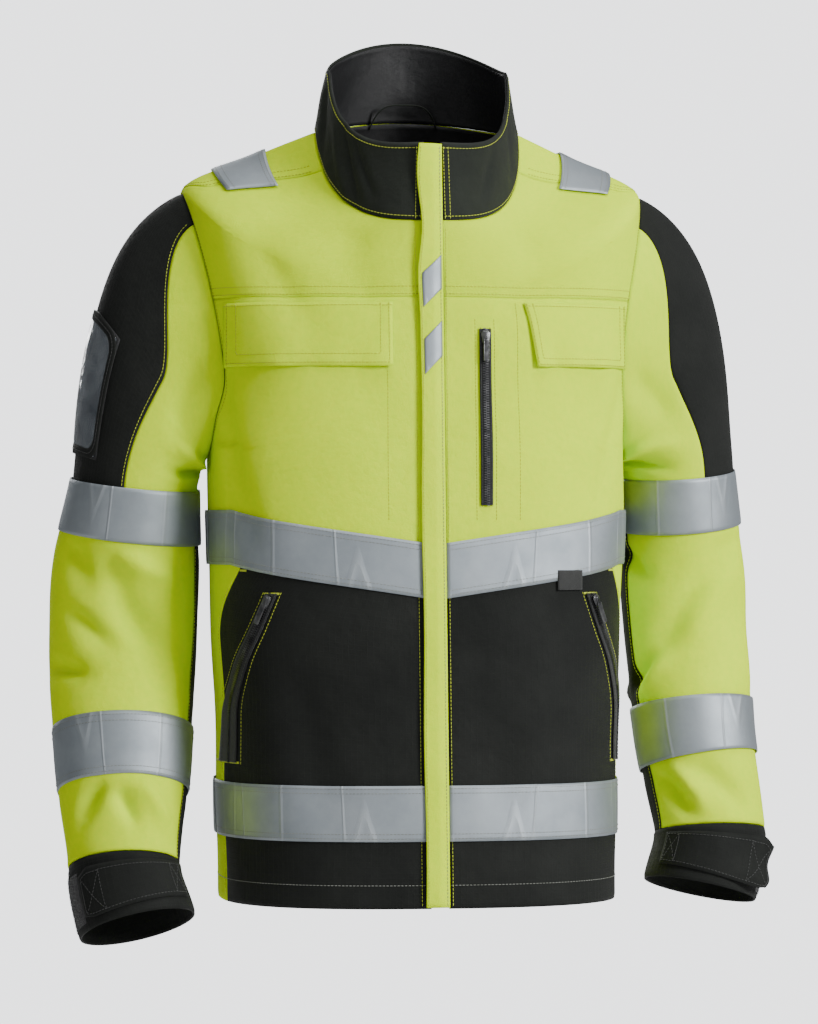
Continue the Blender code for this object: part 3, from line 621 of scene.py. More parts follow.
def along_group(name, teeth=False):
    """A node tree that sets a small solid at each step along the lines it is given."""
    tree = bpy.data.node_groups.new(name, "GeometryNodeTree")
    tree.interface.new_socket("Geometry", in_out="INPUT", socket_type="NodeSocketGeometry")
    for word in ("Spacing", "Length", "Width", "Height", "Offset"):
        tree.interface.new_socket(word, in_out="INPUT", socket_type="NodeSocketFloat")
    tree.interface.new_socket("Material", in_out="INPUT", socket_type="NodeSocketMaterial")
    tree.interface.new_socket("Geometry", in_out="OUTPUT", socket_type="NodeSocketGeometry")
    given, done = tree.nodes.new("NodeGroupInput"), tree.nodes.new("NodeGroupOutput")

    def node(kind, **settings):
        made = tree.nodes.new(kind)
        for key, value in settings.items():
            setattr(made, key, value)
        return made

    def link(a, b):
        tree.links.new(a, b)

    curve = node("GeometryNodeMeshToCurve")
    link(given.outputs["Geometry"], curve.inputs["Mesh"])
    steps = node("GeometryNodeResampleCurve")
    steps.mode = "LENGTH"
    link(curve.outputs["Curve"], steps.inputs["Curve"])
    link(given.outputs["Spacing"], steps.inputs["Length"])
    tangent = node("GeometryNodeInputTangent")
    out = node("GeometryNodeInputNamedAttribute", data_type="FLOAT_VECTOR")
    out.inputs["Name"].default_value = "out"
    first = node("FunctionNodeAlignRotationToVector", axis="X")
    link(tangent.outputs["Tangent"], first.inputs["Vector"])
    second = node("FunctionNodeAlignRotationToVector", axis="Z", pivot_axis="X")
    link(first.outputs["Rotation"], second.inputs["Rotation"])
    link(out.outputs["Attribute"], second.inputs["Vector"])
    if teeth:
        solid = node("GeometryNodeMeshCube")
        shape_out = solid.outputs["Mesh"]
    else:
        solid = node("GeometryNodeMeshUVSphere")
        solid.inputs["Segments"].default_value = 6
        solid.inputs["Rings"].default_value = 4
        solid.inputs["Radius"].default_value = 0.5
        shape_out = solid.outputs["Mesh"]
    size = node("ShaderNodeCombineXYZ")
    for socket, word in (("X", "Length"), ("Y", "Width"), ("Z", "Height")):
        link(given.outputs[word], size.inputs[socket])
    shaped = node("GeometryNodeTransform")
    link(shape_out, shaped.inputs["Geometry"])
    link(size.outputs["Vector"], shaped.inputs["Scale"])
    smooth = node("GeometryNodeSetShadeSmooth")
    smooth.inputs["Shade Smooth"].default_value = not teeth
    link(shaped.outputs["Geometry"], smooth.inputs["Geometry"])
    placed = node("GeometryNodeInstanceOnPoints")
    link(steps.outputs["Curve"], placed.inputs["Points"])
    link(smooth.outputs["Geometry"], placed.inputs["Instance"])
    link(second.outputs["Rotation"], placed.inputs["Rotation"])
    # Every other one moves to the far side, as the two rows of a zip's teeth do.
    index, two = node("GeometryNodeInputIndex"), node("ShaderNodeMath", operation="MODULO")
    link(index.outputs["Index"], two.inputs[0])
    two.inputs[1].default_value = 2.0
    swing = node("ShaderNodeMath", operation="MULTIPLY_ADD")
    link(two.outputs[0], swing.inputs[0])
    swing.inputs[1].default_value, swing.inputs[2].default_value = 2.0, -1.0
    reach = node("ShaderNodeMath", operation="MULTIPLY")
    link(swing.outputs[0], reach.inputs[0])
    link(given.outputs["Offset"], reach.inputs[1])
    across = node("ShaderNodeCombineXYZ")
    link(reach.outputs[0], across.inputs["Y"])
    moved = node("GeometryNodeTranslateInstances")
    moved.inputs["Local Space"].default_value = True
    link(placed.outputs["Instances"], moved.inputs["Instances"])
    link(across.outputs["Vector"], moved.inputs["Translation"])
    whole = node("GeometryNodeRealizeInstances")
    link(moved.outputs["Instances"], whole.inputs["Geometry"])
    painted = node("GeometryNodeSetMaterial")
    link(whole.outputs["Geometry"], painted.inputs["Geometry"])
    link(given.outputs["Material"], painted.inputs["Material"])
    link(painted.outputs["Geometry"], done.inputs["Geometry"])
    return tree


def run_tree(name, lines, tree, sizes, material):
    """Makes a mesh of the lines, runs the tree on it, and keeps the plain mesh that comes out."""
    places = np.concatenate([a for a, _ in lines])
    out = np.concatenate([b for _, b in lines]).astype(np.float32)
    edges, start = [], 0
    for a, _ in lines:
        edges += [(start + k, start + k + 1) for k in range(len(a) - 1)]
        start += len(a)
    mesh = bpy.data.meshes.new(f"{name}_lines")
    mesh.from_pydata([tuple(v) for v in places], edges, [])
    mesh.attributes.new("out", "FLOAT_VECTOR", "POINT").data.foreach_set("vector", out.ravel())
    guide = bpy.data.objects.new(f"{name}_lines", mesh)
    bpy.context.scene.collection.objects.link(guide)
    work = guide.modifiers.new("Along", "NODES")
    work.node_group = tree
    names = {item.name: item.identifier for item in tree.interface.items_tree
             if item.item_type == "SOCKET" and item.in_out == "INPUT"}
    for word, value in sizes.items():
        work[names[word]] = value
    work[names["Material"]] = MATERIALS[material]
    bpy.context.view_layer.update()
    graph = bpy.context.evaluated_depsgraph_get()
    made_mesh = bpy.data.meshes.new_from_object(guide.evaluated_get(graph))
    bpy.data.objects.remove(guide, do_unlink=True)
    for stray in [a.name for a in made_mesh.attributes if a.name == "out"]:
        made_mesh.attributes.remove(made_mesh.attributes[stray])
    made = bpy.data.objects.new(name, made_mesh)
    bpy.context.scene.collection.objects.link(made)
    return made


def sew():
    """Turns every remembered row into stitches, one piece for each body and thread."""
    tree = along_group("Stitches along a row")
    sizes = {"stitch": {"Spacing": 0.0033, "Length": 0.0029, "Width": 0.00065, "Height": 0.0006, "Offset": 0.0},
             "bartack": {"Spacing": 0.0007, "Length": 0.0009, "Width": 0.0024, "Height": 0.0009, "Offset": 0.0}}
    for (body, thread, kind), lines in ROWS.items():
        made = run_tree(f"{body}_{thread}_{kind}", lines, tree, sizes[kind], thread)
        settle(made, body, thread)


# Materials. The shared effects are node groups, and each material keeps its own shader.


class Nodes:
    """Short words for making and joining shader nodes in one tree."""

    def __init__(self, tree):
        self.tree = tree

    def new(self, kind, values=None, **settings):
        made = self.tree.nodes.new(kind)
        for key, value in settings.items():
            setattr(made, key, value)
        for key, value in (values or {}).items():
            if isinstance(value, bpy.types.NodeSocket):
                self.tree.links.new(value, made.inputs[key])
            else:
                made.inputs[key].default_value = value
        return made

    def math(self, operation, a, b=0.0, c=0.0):
        values = {n: v for n, v in enumerate((a, b, c)) if operation == "MULTIPLY_ADD" or n < 2}
        return self.new("ShaderNodeMath", values, operation=operation).outputs[0]

    def noise(self, vector, scale, detail=3.0, rough=0.5):
        return self.new("ShaderNodeTexNoise", {"Vector": vector, "Scale": scale, "Detail": detail,
                                               "Roughness": rough}).outputs[0]

    def ramp(self, value, low, high, a=0.0, b=1.0):
        return self.new("ShaderNodeMapRange", {"Value": value, "From Min": low, "From Max": high,
                                               "To Min": a, "To Max": b}).outputs[0]

    def waves(self, vector, scale, turn, profile="SIN"):
        turned = self.new("ShaderNodeMapping", {"Vector": vector, "Rotation": (0, 0, math.radians(turn))})
        made = self.new("ShaderNodeTexWave", {"Vector": turned.outputs[0], "Scale": scale, "Distortion": 0.0},
                        wave_profile=profile)
        return made.outputs["Fac"]

    def tint(self, amount, a, b):
        made = self.new("ShaderNodeMix", data_type="RGBA")
        for key, value in ((0, amount), (6, a), (7, b)):
            if isinstance(value, bpy.types.NodeSocket):
                self.tree.links.new(value, made.inputs[key])
            else:
                made.inputs[key].default_value = value
        return made.outputs[2]


def group(name, inputs, outputs, fill):
    """A shader node group. fill(nodes, given) returns the sockets for its outputs, in order."""
    tree = bpy.data.node_groups.new(name, "ShaderNodeTree")
    for word, value in inputs.items():
        kind = "NodeSocketVector" if value is None else "NodeSocketFloat"
        made = tree.interface.new_socket(word, in_out="INPUT", socket_type=kind)
        if value is not None:
            made.default_value = value
    for word, kind in outputs.items():
        tree.interface.new_socket(word, in_out="OUTPUT", socket_type=f"NodeSocket{kind}")
    given, done = tree.nodes.new("NodeGroupInput"), tree.nodes.new("NodeGroupOutput")
    for word, value in zip(outputs, fill(Nodes(tree), given.outputs)):
        tree.links.new(value, done.inputs[word])
    return tree


def weave_group():
    """Slanting ribs of a twill, with slubs. The threads are so many to the metre."""

    def fill(n, given):
        flat = n.new("ShaderNodeVectorMath", {0: given["Cloth"]}, operation="SCALE")
        n.tree.links.new(given["Threads"], flat.inputs["Scale"])
        ribs = n.waves(flat.outputs[0], 0.32, 58)
        cross = n.waves(flat.outputs[0], 0.45, -31)
        slub = n.noise(flat.outputs[0], 0.09, 2.0)
        height = n.math("MULTIPLY_ADD", cross, 0.35, ribs)
        return n.math("MULTIPLY_ADD", slub, 0.6, height), n.ramp(slub, 0.3, 0.7)

    return group("Twill weave", {"Cloth": None, "Threads": 1600.0},
                 {"Height": "Float", "Slub": "Float"}, fill)


def ripstop_group():
    """A plain weave with a thicker thread every few millimetres each way."""

    def fill(n, given):
        parts = n.new("ShaderNodeSeparateXYZ", {0: given["Cloth"]})
        lines, fine = [], []
        for axis in "XY":
            cells = n.math("DIVIDE", parts.outputs[axis], given["Cell"])
            off = n.math("ABSOLUTE", n.math("SUBTRACT", n.math("FRACT", cells), 0.5))
            lines.append(n.ramp(off, 0.44, 0.49))
            fine.append(n.math("SINE", n.math("MULTIPLY", parts.outputs[axis], 7200.0)))
        grid = n.math("MAXIMUM", *lines)
        weave = n.math("MULTIPLY", *fine)
        height = n.math("MULTIPLY_ADD", grid, 1.2, n.math("MULTIPLY", weave, 0.35))
        return height, grid

    return group("Ripstop weave", {"Cloth": None, "Cell": 0.005}, {"Height": "Float", "Grid": "Float"},
                 fill)


def handling_group():
    """Slow shade changes, lint and rubbed places on worn cloth."""

    def fill(n, given):
        place = n.new("ShaderNodeTexCoord").outputs["Object"]
        slow = n.noise(place, given["Patches"], 4.0, 0.6)
        fine = n.noise(place, 900.0, 2.0)
        crumple = n.noise(place, 60.0, 4.0, 0.62)
        shade = n.ramp(slow, 0.3, 0.72)
        lint = n.ramp(fine, 0.72, 0.80)
        return shade, lint, crumple

    return group("Handling", {"Patches": 14.0}, {"Shade": "Float", "Lint": "Float", "Crumple": "Float"}, fill)


def material(name, fill):
    """A material with one Principled shader, filled in by fill(nodes, shader)."""
    made = bpy.data.materials.new(name)
    made.use_nodes = True
    made.node_tree.nodes.clear()
    n = Nodes(made.node_tree)
    shader = n.new("ShaderNodeBsdfPrincipled")
    last = n.new("ShaderNodeOutputMaterial")
    made.node_tree.links.new(shader.outputs[0], last.inputs["Surface"])
    fill(n, shader)
    return made


def cloth_material(name, weave, values, light, deep, rough=0.85, sheen=0.2, grain=0.0004, crumple=0.0025,
                   patches=14.0, gloss=0.3):
    """A fabric: its weave and its unevenness go to colour, roughness and bump."""

    def fill(n, shader):
        where = n.new("ShaderNodeUVMap", uv_map="cloth").outputs[0]
        threads = n.new("ShaderNodeGroup", node_tree=weave)
        n.tree.links.new(where, threads.inputs["Cloth"])
        for word, value in values.items():
            threads.inputs[word].default_value = value
        worn = n.new("ShaderNodeGroup", node_tree=HANDLING)
        worn.inputs["Patches"].default_value = patches
        tone = n.tint(worn.outputs["Shade"], (*deep, 1), (*light, 1))
        tone = n.tint(n.math("MULTIPLY", threads.outputs[1], 0.16), tone, (*[min(1, c * 1.5) for c in light], 1))
        tone = n.tint(n.math("MULTIPLY", worn.outputs["Lint"], 0.04), tone, (0.50, 0.50, 0.42, 1))
        n.tree.links.new(tone, shader.inputs["Base Color"])
        n.tree.links.new(n.ramp(worn.outputs["Shade"], 0, 1, rough + 0.05, rough - 0.07),
                         shader.inputs["Roughness"])
        shader.inputs["Sheen Weight"].default_value = sheen
        shader.inputs["Sheen Roughness"].default_value = 0.5
        shader.inputs["Specular IOR Level"].default_value = gloss
        low = n.new("ShaderNodeBump", {"Height": worn.outputs["Crumple"], "Distance": crumple,
                                       "Strength": 0.55})
        fine = n.new("ShaderNodeBump", {"Height": threads.outputs["Height"], "Distance": grain,
                                        "Strength": 0.5, "Normal": low.outputs[0]})
        n.tree.links.new(fine.outputs[0], shader.inputs["Normal"])

    return material(name, fill)


def tape_material():
    """Grey beaded tape, creased across, with a painted highlight along the crease ridges and a fine pressed grid."""

    def fill(n, shader):
        where = n.new("ShaderNodeUVMap", uv_map="cloth").outputs[0]
        beads = n.new("ShaderNodeTexVoronoi", {"Vector": where, "Scale": 2600.0})
        grid = n.new("ShaderNodeGroup", node_tree=RIPSTOP)
        n.tree.links.new(where, grid.inputs["Cloth"])
        grid.inputs["Cell"].default_value = 0.0016
        worn = n.new("ShaderNodeGroup", node_tree=HANDLING)
        worn.inputs["Patches"].default_value = 22.0
        stretched = n.new("ShaderNodeMapping", {"Vector": where, "Scale": (1.0, 0.10, 1.0)}).outputs[0]
        crease = n.noise(stretched, 16.0, 2.0, 0.45)
        # Thin lines along the creases: they raise the bump, and they are also where the highlight is painted.
        ridge_and_highlight = n.ramp(n.math("ABSOLUTE", n.math("SUBTRACT", crease, 0.5)), 0.0, 0.012, 1.0, 0.0)
        tone = n.tint(worn.outputs["Shade"], (0.27, 0.305, 0.33, 1), (0.35, 0.385, 0.41, 1))
        # Painted highlight: the base colour is lightened toward pale grey along the crease ridges.
        tone = n.tint(n.math("MULTIPLY", ridge_and_highlight, 0.12), tone, (0.80, 0.83, 0.85, 1))
        tone = n.tint(n.math("MULTIPLY", grid.outputs["Grid"], 0.08), tone, (0.25, 0.27, 0.29, 1))
        n.tree.links.new(tone, shader.inputs["Base Color"])
        shader.inputs["Metallic"].default_value = 0.80
        n.tree.links.new(n.ramp(worn.outputs["Shade"], 0, 1, 0.62, 0.52), shader.inputs["Roughness"])
        low = n.new("ShaderNodeBump", {"Height": n.math("MULTIPLY_ADD", ridge_and_highlight, 0.5, crease),
                                       "Distance": 0.0016, "Strength": 0.5})
        fine = n.new("ShaderNodeBump", {"Height": beads.outputs["Distance"], "Distance": 0.00015,
                                        "Strength": 0.5, "Normal": low.outputs[0]})
        n.tree.links.new(fine.outputs[0], shader.inputs["Normal"])

    return material("Reflective tape", fill)


def metal_material():
    """Dark plated metal, rubbed brighter in places."""

    def fill(n, shader):
        worn = n.new("ShaderNodeGroup", node_tree=HANDLING)
        worn.inputs["Patches"].default_value = 120.0
        tone = n.tint(worn.outputs["Shade"], (0.05, 0.052, 0.055, 1), (0.20, 0.20, 0.205, 1))
        n.tree.links.new(tone, shader.inputs["Base Color"])
        shader.inputs["Metallic"].default_value = 0.9
        n.tree.links.new(n.ramp(worn.outputs["Crumple"], 0.3, 0.7, 0.28, 0.48), shader.inputs["Roughness"])
        fine = n.new("ShaderNodeBump", {"Height": worn.outputs["Crumple"], "Distance": 0.0002,
                                        "Strength": 0.3})
        n.tree.links.new(fine.outputs[0], shader.inputs["Normal"])

    return material("Dark zip metal", fill)


def vinyl_material():
    """Clear vinyl, a little cloudy and rippled."""

    def fill(n, shader):
        place = n.new("ShaderNodeTexCoord").outputs["Object"]
        cloud = n.noise(place, 45.0, 4.0, 0.6)
        n.tree.links.new(n.tint(n.ramp(cloud, 0.3, 0.7), (0.26, 0.31, 0.37, 1), (0.62, 0.68, 0.73, 1)),
                         shader.inputs["Base Color"])
        n.tree.links.new(n.ramp(cloud, 0.3, 0.7, 0.05, 0.16), shader.inputs["Roughness"])
        shader.inputs["Transmission Weight"].default_value = 0.86
        shader.inputs["IOR"].default_value = 1.45
        shader.inputs["Coat Weight"].default_value = 0.5
        shader.inputs["Coat Roughness"].default_value = 0.08
        bump = n.new("ShaderNodeBump", {"Height": n.noise(place, 70.0, 2.0), "Distance": 0.004,
                                        "Strength": 0.5})
        n.tree.links.new(bump.outputs[0], shader.inputs["Normal"])

    return material("Clear vinyl", fill)


def thread_material(name, light, deep):
    """Twisted thread: fine slanting plies and a slow change of shade."""

    def fill(n, shader):
        place = n.new("ShaderNodeTexCoord").outputs["Object"]
        plies = n.waves(place, 900.0, 35)
        slow = n.noise(place, 40.0, 2.0)
        tone = n.tint(n.ramp(slow, 0.3, 0.7), (*deep, 1), (*light, 1))
        tone = n.tint(n.math("MULTIPLY", plies, 0.3), tone, (*[c * 0.55 for c in deep], 1))
        n.tree.links.new(tone, shader.inputs["Base Color"])
        n.tree.links.new(n.ramp(slow, 0, 1, 0.50, 0.68), shader.inputs["Roughness"])
        shader.inputs["Sheen Weight"].default_value = 0.2
        bump = n.new("ShaderNodeBump", {"Height": plies, "Distance": 0.0001, "Strength": 0.6})
        n.tree.links.new(bump.outputs[0], shader.inputs["Normal"])

    return material(name, fill)


TWILL, RIPSTOP, HANDLING = weave_group(), ripstop_group(), handling_group()
MATERIALS.update({
    "twill": cloth_material("Fluorescent twill", TWILL, {"Threads": 1700.0}, (0.660, 0.930, 0.0),
                            (0.600, 0.870, 0.0), 0.90, 0.0, gloss=0.06),
    "ripstop": cloth_material("Black ripstop", RIPSTOP, {"Cell": 0.0052}, (0.0075, 0.0088, 0.0070),
                              (0.0040, 0.0050, 0.0040), 0.74, 0.03, 0.0003, gloss=0.20),
    "collar": cloth_material("Black collar twill", TWILL, {"Threads": 1500.0}, (0.0110, 0.0145, 0.0095),
                             (0.0060, 0.0080, 0.0055), 0.76, 0.05, gloss=0.22),
    "lining": cloth_material("Smooth lining", TWILL, {"Threads": 2600.0}, (0.0075, 0.0078, 0.0085),
                             (0.0045, 0.0047, 0.0052), 0.50, 0.02, 0.0001, 0.002, 20.0),
    "label": cloth_material("Woven label", TWILL, {"Threads": 2200.0}, (0.030, 0.031, 0.030),
                            (0.018, 0.019, 0.018), 0.75, 0.1),
    "zip": cloth_material("Zip tape", TWILL, {"Threads": 1300.0}, (0.0160, 0.0165, 0.0175),
                          (0.0090, 0.0095, 0.0100), 0.80, 0.15, 0.0003, 0.0006),
    "hooks": cloth_material("Hook and loop", RIPSTOP, {"Cell": 0.0011}, (0.0190, 0.0195, 0.0200),
                            (0.0095, 0.0100, 0.0105), 0.85, 0.4, 0.0006),
    "tape": tape_material(), "metal": metal_material(), "vinyl": vinyl_material(),
    "lime_thread": thread_material("Lime thread", (0.70, 0.80, 0.02), (0.46, 0.54, 0.01)),
    "olive_thread": thread_material("Olive thread", (0.40, 0.46, 0.01), (0.26, 0.30, 0.008)),
    "grey_thread": thread_material("Grey thread", (0.27, 0.28, 0.25), (0.17, 0.18, 0.15)),
    "dark_thread": thread_material("Dark thread", (0.035, 0.037, 0.035), (0.018, 0.019, 0.018)),
})


# The shell of the body.


def make_fronts():
    for side in "rl":
        turn = sign(side)
        cloth(f"front_yoke_{side}", TORSO,
              patch(lambda u: YOKE_SEAM, None, turn, placket_edge, front_edge), -SHELL, "twill")
        cloth(f"chest_panel_{side}", TORSO,
              patch(lambda u: tape_low(u) + 0.006, lambda u: YOKE_SEAM, turn, placket_edge, front_edge),
              -SHELL, "twill")
        cloth(f"lower_front_{side}", TORSO,
              patch(lambda u: 0.0, lambda u: tape_low(u) + 0.007, turn, placket_edge, pocket_panel_edge),
              -SHELL, "ripstop")
        cloth(f"side_panel_{side}", TORSO,
              patch(lambda u: 0.0, lambda u: tape_low(u) + 0.007, turn, pocket_panel_edge,
                    lambda v: SIDE_SEAM_BACK + 0 * v), -SHELL, "twill")


def make_back():
    def far(v):
        return 360 - back_edge(v)

    cloth("back_yoke", TORSO, patch(lambda u: BACK_YOKE_SEAM, None, 1, back_edge, far), -SHELL, "twill")
    cloth("back_panel", TORSO,
          patch(lambda u: CHEST_TAPE_SIDE + 0.006, lambda u: BACK_YOKE_SEAM, 1, back_edge, far),
          -SHELL, "twill")
    cloth("back_lower", TORSO,
          patch(lambda u: -BACK_HEM_DROP, lambda u: CHEST_TAPE_SIDE + 0.007, 1,
                lambda v: SIDE_SEAM_BACK + 0 * v, lambda v: 360 - SIDE_SEAM_BACK + 0 * v),
          -SHELL, "ripstop")


COLLAR_EDGE = math.degrees(math.asin(FRONT_GAP / 0.090))


def make_collar():
    cloth("collar_outer", COLLAR, lambda s, r: (mix(COLLAR_EDGE, 360 - COLLAR_EDGE, s), mix(0.0, 1.0, r)),
          0.0, "collar", thick=0.0016, dip=0.0009)
    cloth("collar_lining", COLLAR,
          lambda s, r: (mix(COLLAR_EDGE + 1.5, 358.5 - COLLAR_EDGE, s), mix(0.0, 0.965, r)),
          -0.0026, "lining")


def make_lining():
    """One bag of lining, open down the front, with an opening for each sleeve."""
    rows = np.concatenate([np.linspace(0.03, ARMHOLE_LOW, 80), np.linspace(ARMHOLE_LOW, ARMHOLE_TOP, 46)[1:],
                           np.linspace(ARMHOLE_TOP, 1.0, 26)[1:]])

    def opening(v):
        return armhole_half(v) * 1.08

    edges = [(lambda v: 12 + 0 * v, lambda v: 90 - opening(v)), (lambda v: 90 + opening(v), lambda v: 180 + 0 * v),
             (lambda v: 180 + 0 * v, lambda v: 270 - opening(v)), (lambda v: 270 + opening(v), lambda v: 348 + 0 * v)]
    shape = bmesh.new()
    total, widest = 0.0, 0.0
    for start, end in edges:
        s, v = np.meshgrid(np.linspace(0, 1, 46), rows)
        u = mix(start(v), end(v), s)
        # The lining hangs clear of the shell and closes on to it at the neck seam.
        verts = lifted(TORSO, u, v, LINING_LIFT + LINING_NECK_RISE * ease((v - 0.965) / 0.035))
        grid = [[shape.verts.new(tuple(place)) for place in line_] for line_ in verts]
        for low, high in zip(grid, grid[1:]):
            for n in range(len(low) - 1):
                shape.faces.new((low[n], low[n + 1], high[n + 1], high[n]))
        widest += np.linalg.norm(np.diff(verts, axis=1), axis=-1).sum(1).max()
        total = np.linalg.norm(np.diff(verts, axis=0), axis=-1).sum(0).max()
    bmesh.ops.remove_doubles(shape, verts=shape.verts[:], dist=0.00005)
    shape.normal_update()
    shape.faces.ensure_lookup_table()
    if shape.faces[10].normal.dot(Vector((0, -1, 0))) < 0:
        bmesh.ops.reverse_faces(shape, faces=shape.faces[:])
    mesh = bpy.data.meshes.new("body_lining_cloth")
    shape.to_mesh(mesh)
    area = sum(face.calc_area() for face in shape.faces)
    shape.free()
    layer = mesh.uv_layers.new(name="cloth")
    for loop in mesh.loops:
        place = mesh.vertices[loop.vertex_index].co
        layer.data[loop.index].uv = (math.atan2(place.x, -place.y - LOOP_Y) * 0.17, place.z)
    mesh.materials.append(MATERIALS["lining"])
    mesh.shade_smooth()
    made = bpy.data.objects.new("body_lining_cloth", mesh)
    bpy.context.scene.collection.objects.link(made)
    wall = made.modifiers.new("Thickness", "SOLIDIFY")
    wall.thickness, wall.offset = SHELL, -1
    settle(made, "root", "lining", "body_lining")
    size = (round(float(widest), 3), round(float(total), 3))
    SHEETS.append(("body_lining", *size))


TAPE_START = math.degrees(math.asin(0.0085 / 0.19))
TAPE_ROWS = (0.0026, 0.0068, TAPE_WIDTH - 0.0068, TAPE_WIDTH - 0.0026)


def tape_rows(low, start, end):
    """Four rows of stitching along a tape that runs round the torso."""
    u = np.linspace(start, end, max(8, int(abs(end - start) * 1.2)))
    for inset in TAPE_ROWS:
        row(TORSO, u, level(u, low(u) + inset), thread="grey_thread", lift=TRIM_LIFT + TRIM + 0.0001)


def make_body_tapes():
    lows = {"chest": tape_low, "hem": lambda u: HEM_TAPE + 0 * u}
    for word, low in lows.items():
        for side in "rl":
            turn = sign(side)
            cloth(f"{word}_tape_{side}", TORSO,
                  patch(low, lambda u, low=low: low(u) + TAPE_WIDTH, turn, lambda v: TAPE_START + 0 * v,
                        lambda v: 90 + 0 * v), TRIM_LIFT, "tape", thick=TRIM, dip=0.0003)
            tape_rows(low, turn * (TAPE_START + 0.8), turn * 89)
        around = low if word == "hem" else (lambda u: CHEST_TAPE_SIDE + 0 * u)
        cloth(f"{word}_tape_back", TORSO,
              patch(around, lambda u, low=around: low(u) + TAPE_WIDTH, 1, lambda v: 90 + 0 * v,
                    lambda v: 270 + 0 * v), TRIM_LIFT, "tape", thick=TRIM, dip=0.0003)
        tape_rows(around, 91, 269)
    for side in "rl":
        turn = sign(side)
        cloth(f"shoulder_tape_{side}", TORSO,
              lambda s, r: (turn * mix(70.0, 114.0, s), mix(*SHOULDER_TAPE, r)), SHOULDER_LIFT, "tape",
              thick=TRIM, dip=0.0003)
        u = np.linspace(71, 113, 60)
        for inset in (0.06, 0.15, 0.85, 0.94):
            row(TORSO, turn * u, mix(*SHOULDER_TAPE, inset), thread="grey_thread",
                lift=SHOULDER_LIFT + TRIM + 0.0001)


def front_row(x, height, thread="lime_thread", body="root", lift=0.0001, kind="stitch"):
    """A row on the front of the torso, through places given as distances from the centre and heights."""
    x, height = np.broadcast_arrays(np.asarray(x, float), np.asarray(height, float))
    u, v = angle_at(x, height)
    row(TORSO, u, v, body=body, thread=thread, lift=lift, kind=kind)


def make_body_rows():
    """The stitching on the shell itself."""
    for side in "rl":
        turn = sign(side)
        for rise in (0.0028, 0.0095):
            u = np.linspace(placket_edge(0.85) + 1, 66.5, 60)
            row(TORSO, turn * u, level(u, YOKE_SEAM + rise), thread="olive_thread")
        for off in (1.3, 4.0):
            v = np.linspace(0.862, 0.985, 24)
            row(TORSO, turn * (shoulder_seam(v) + off), v, thread="olive_thread")
        a = np.linspace(4, 356, 150)
        T = (1 + np.cos(np.radians(a))) / 2
        row(TORSO, turn * (90 - (ARMHOLE_HALF + 1.3) * np.sin(np.radians(a))),
            mix(ARMHOLE_LOW - 0.006, ARMHOLE_TOP + 0.002, T), thread="olive_thread")
        v = np.linspace(0.012, 0.40, 60)
        row(TORSO, turn * (pocket_panel_edge(v) + 1.1), v)
        row(TORSO, turn * (SIDE_SEAM_BACK + 1.1), np.linspace(0.012, 0.42, 60))
        h = np.linspace(0.004, 0.612, 90)
        front_row(turn * (0.0115 if side == "l" else 0.0165), h)
        if side == "l":
            front_row(0.0775, np.linspace(0.350, 0.545, 40), thread="olive_thread")
            front_row(0.0555, np.linspace(0.350, 0.530, 40), thread="olive_thread")
            front_row(0.0375, np.linspace(0.350, 0.530, 40), thread="olive_thread")
        else:
            front_row(-0.0430, np.linspace(0.350, 0.487, 40), thread="olive_thread")
        corner = level(np.array(54.0), 0.303)
        row(TORSO, turn * np.array([54.6, 57.4]), np.array([corner, corner]), kind="bartack")
        row(TORSO, turn * np.array([77.0, 78.5]), level(np.array([77.0, 78.5]), np.array([0.121, 0.129])),
            kind="bartack")
        u = np.linspace(placket_edge(0.0) + 1, SIDE_SEAM_BACK, 90)
        row(TORSO, turn * u, level(u, 0.021 + 0 * u), thread="grey_thread")
    u = np.linspace(SIDE_SEAM_BACK, 360 - SIDE_SEAM_BACK, 120)
    row(TORSO, u, level(u, 0.016 + 0 * u), thread="grey_thread")
    for rise in (0.0028, 0.0095):
        u = np.linspace(113.5, 246.5, 90)
        row(TORSO, u, level(u, BACK_YOKE_SEAM + rise))
    u = np.linspace(COLLAR_EDGE + 2, 358 - COLLAR_EDGE, 140)
    row(COLLAR, u, 0.925 + 0 * u, lift=0.0017)
    row(COLLAR, u, 0.045 + 0 * u, lift=0.0017)
    for turn in (-1, 1):
        for off in (1.6, 4.6):
            row(COLLAR, turn * (COLLAR_EDGE + off) * np.ones(20), np.linspace(0.03, 0.92, 20), lift=0.0017)


def make_pockets():
    for side in "rl":
        turn = sign(side)
        cloth(f"hand_pocket_bag_{side}", TORSO, front_patch(turn * 0.055, turn * 0.158, 0.118, 0.262),
              -0.0036, "lining", cell=0.006)
    cloth("side_label", TORSO, front_patch(0.112, 0.136, 0.285, 0.303), 0.0024, "label", thick=TRIM,
          cell=0.0018)


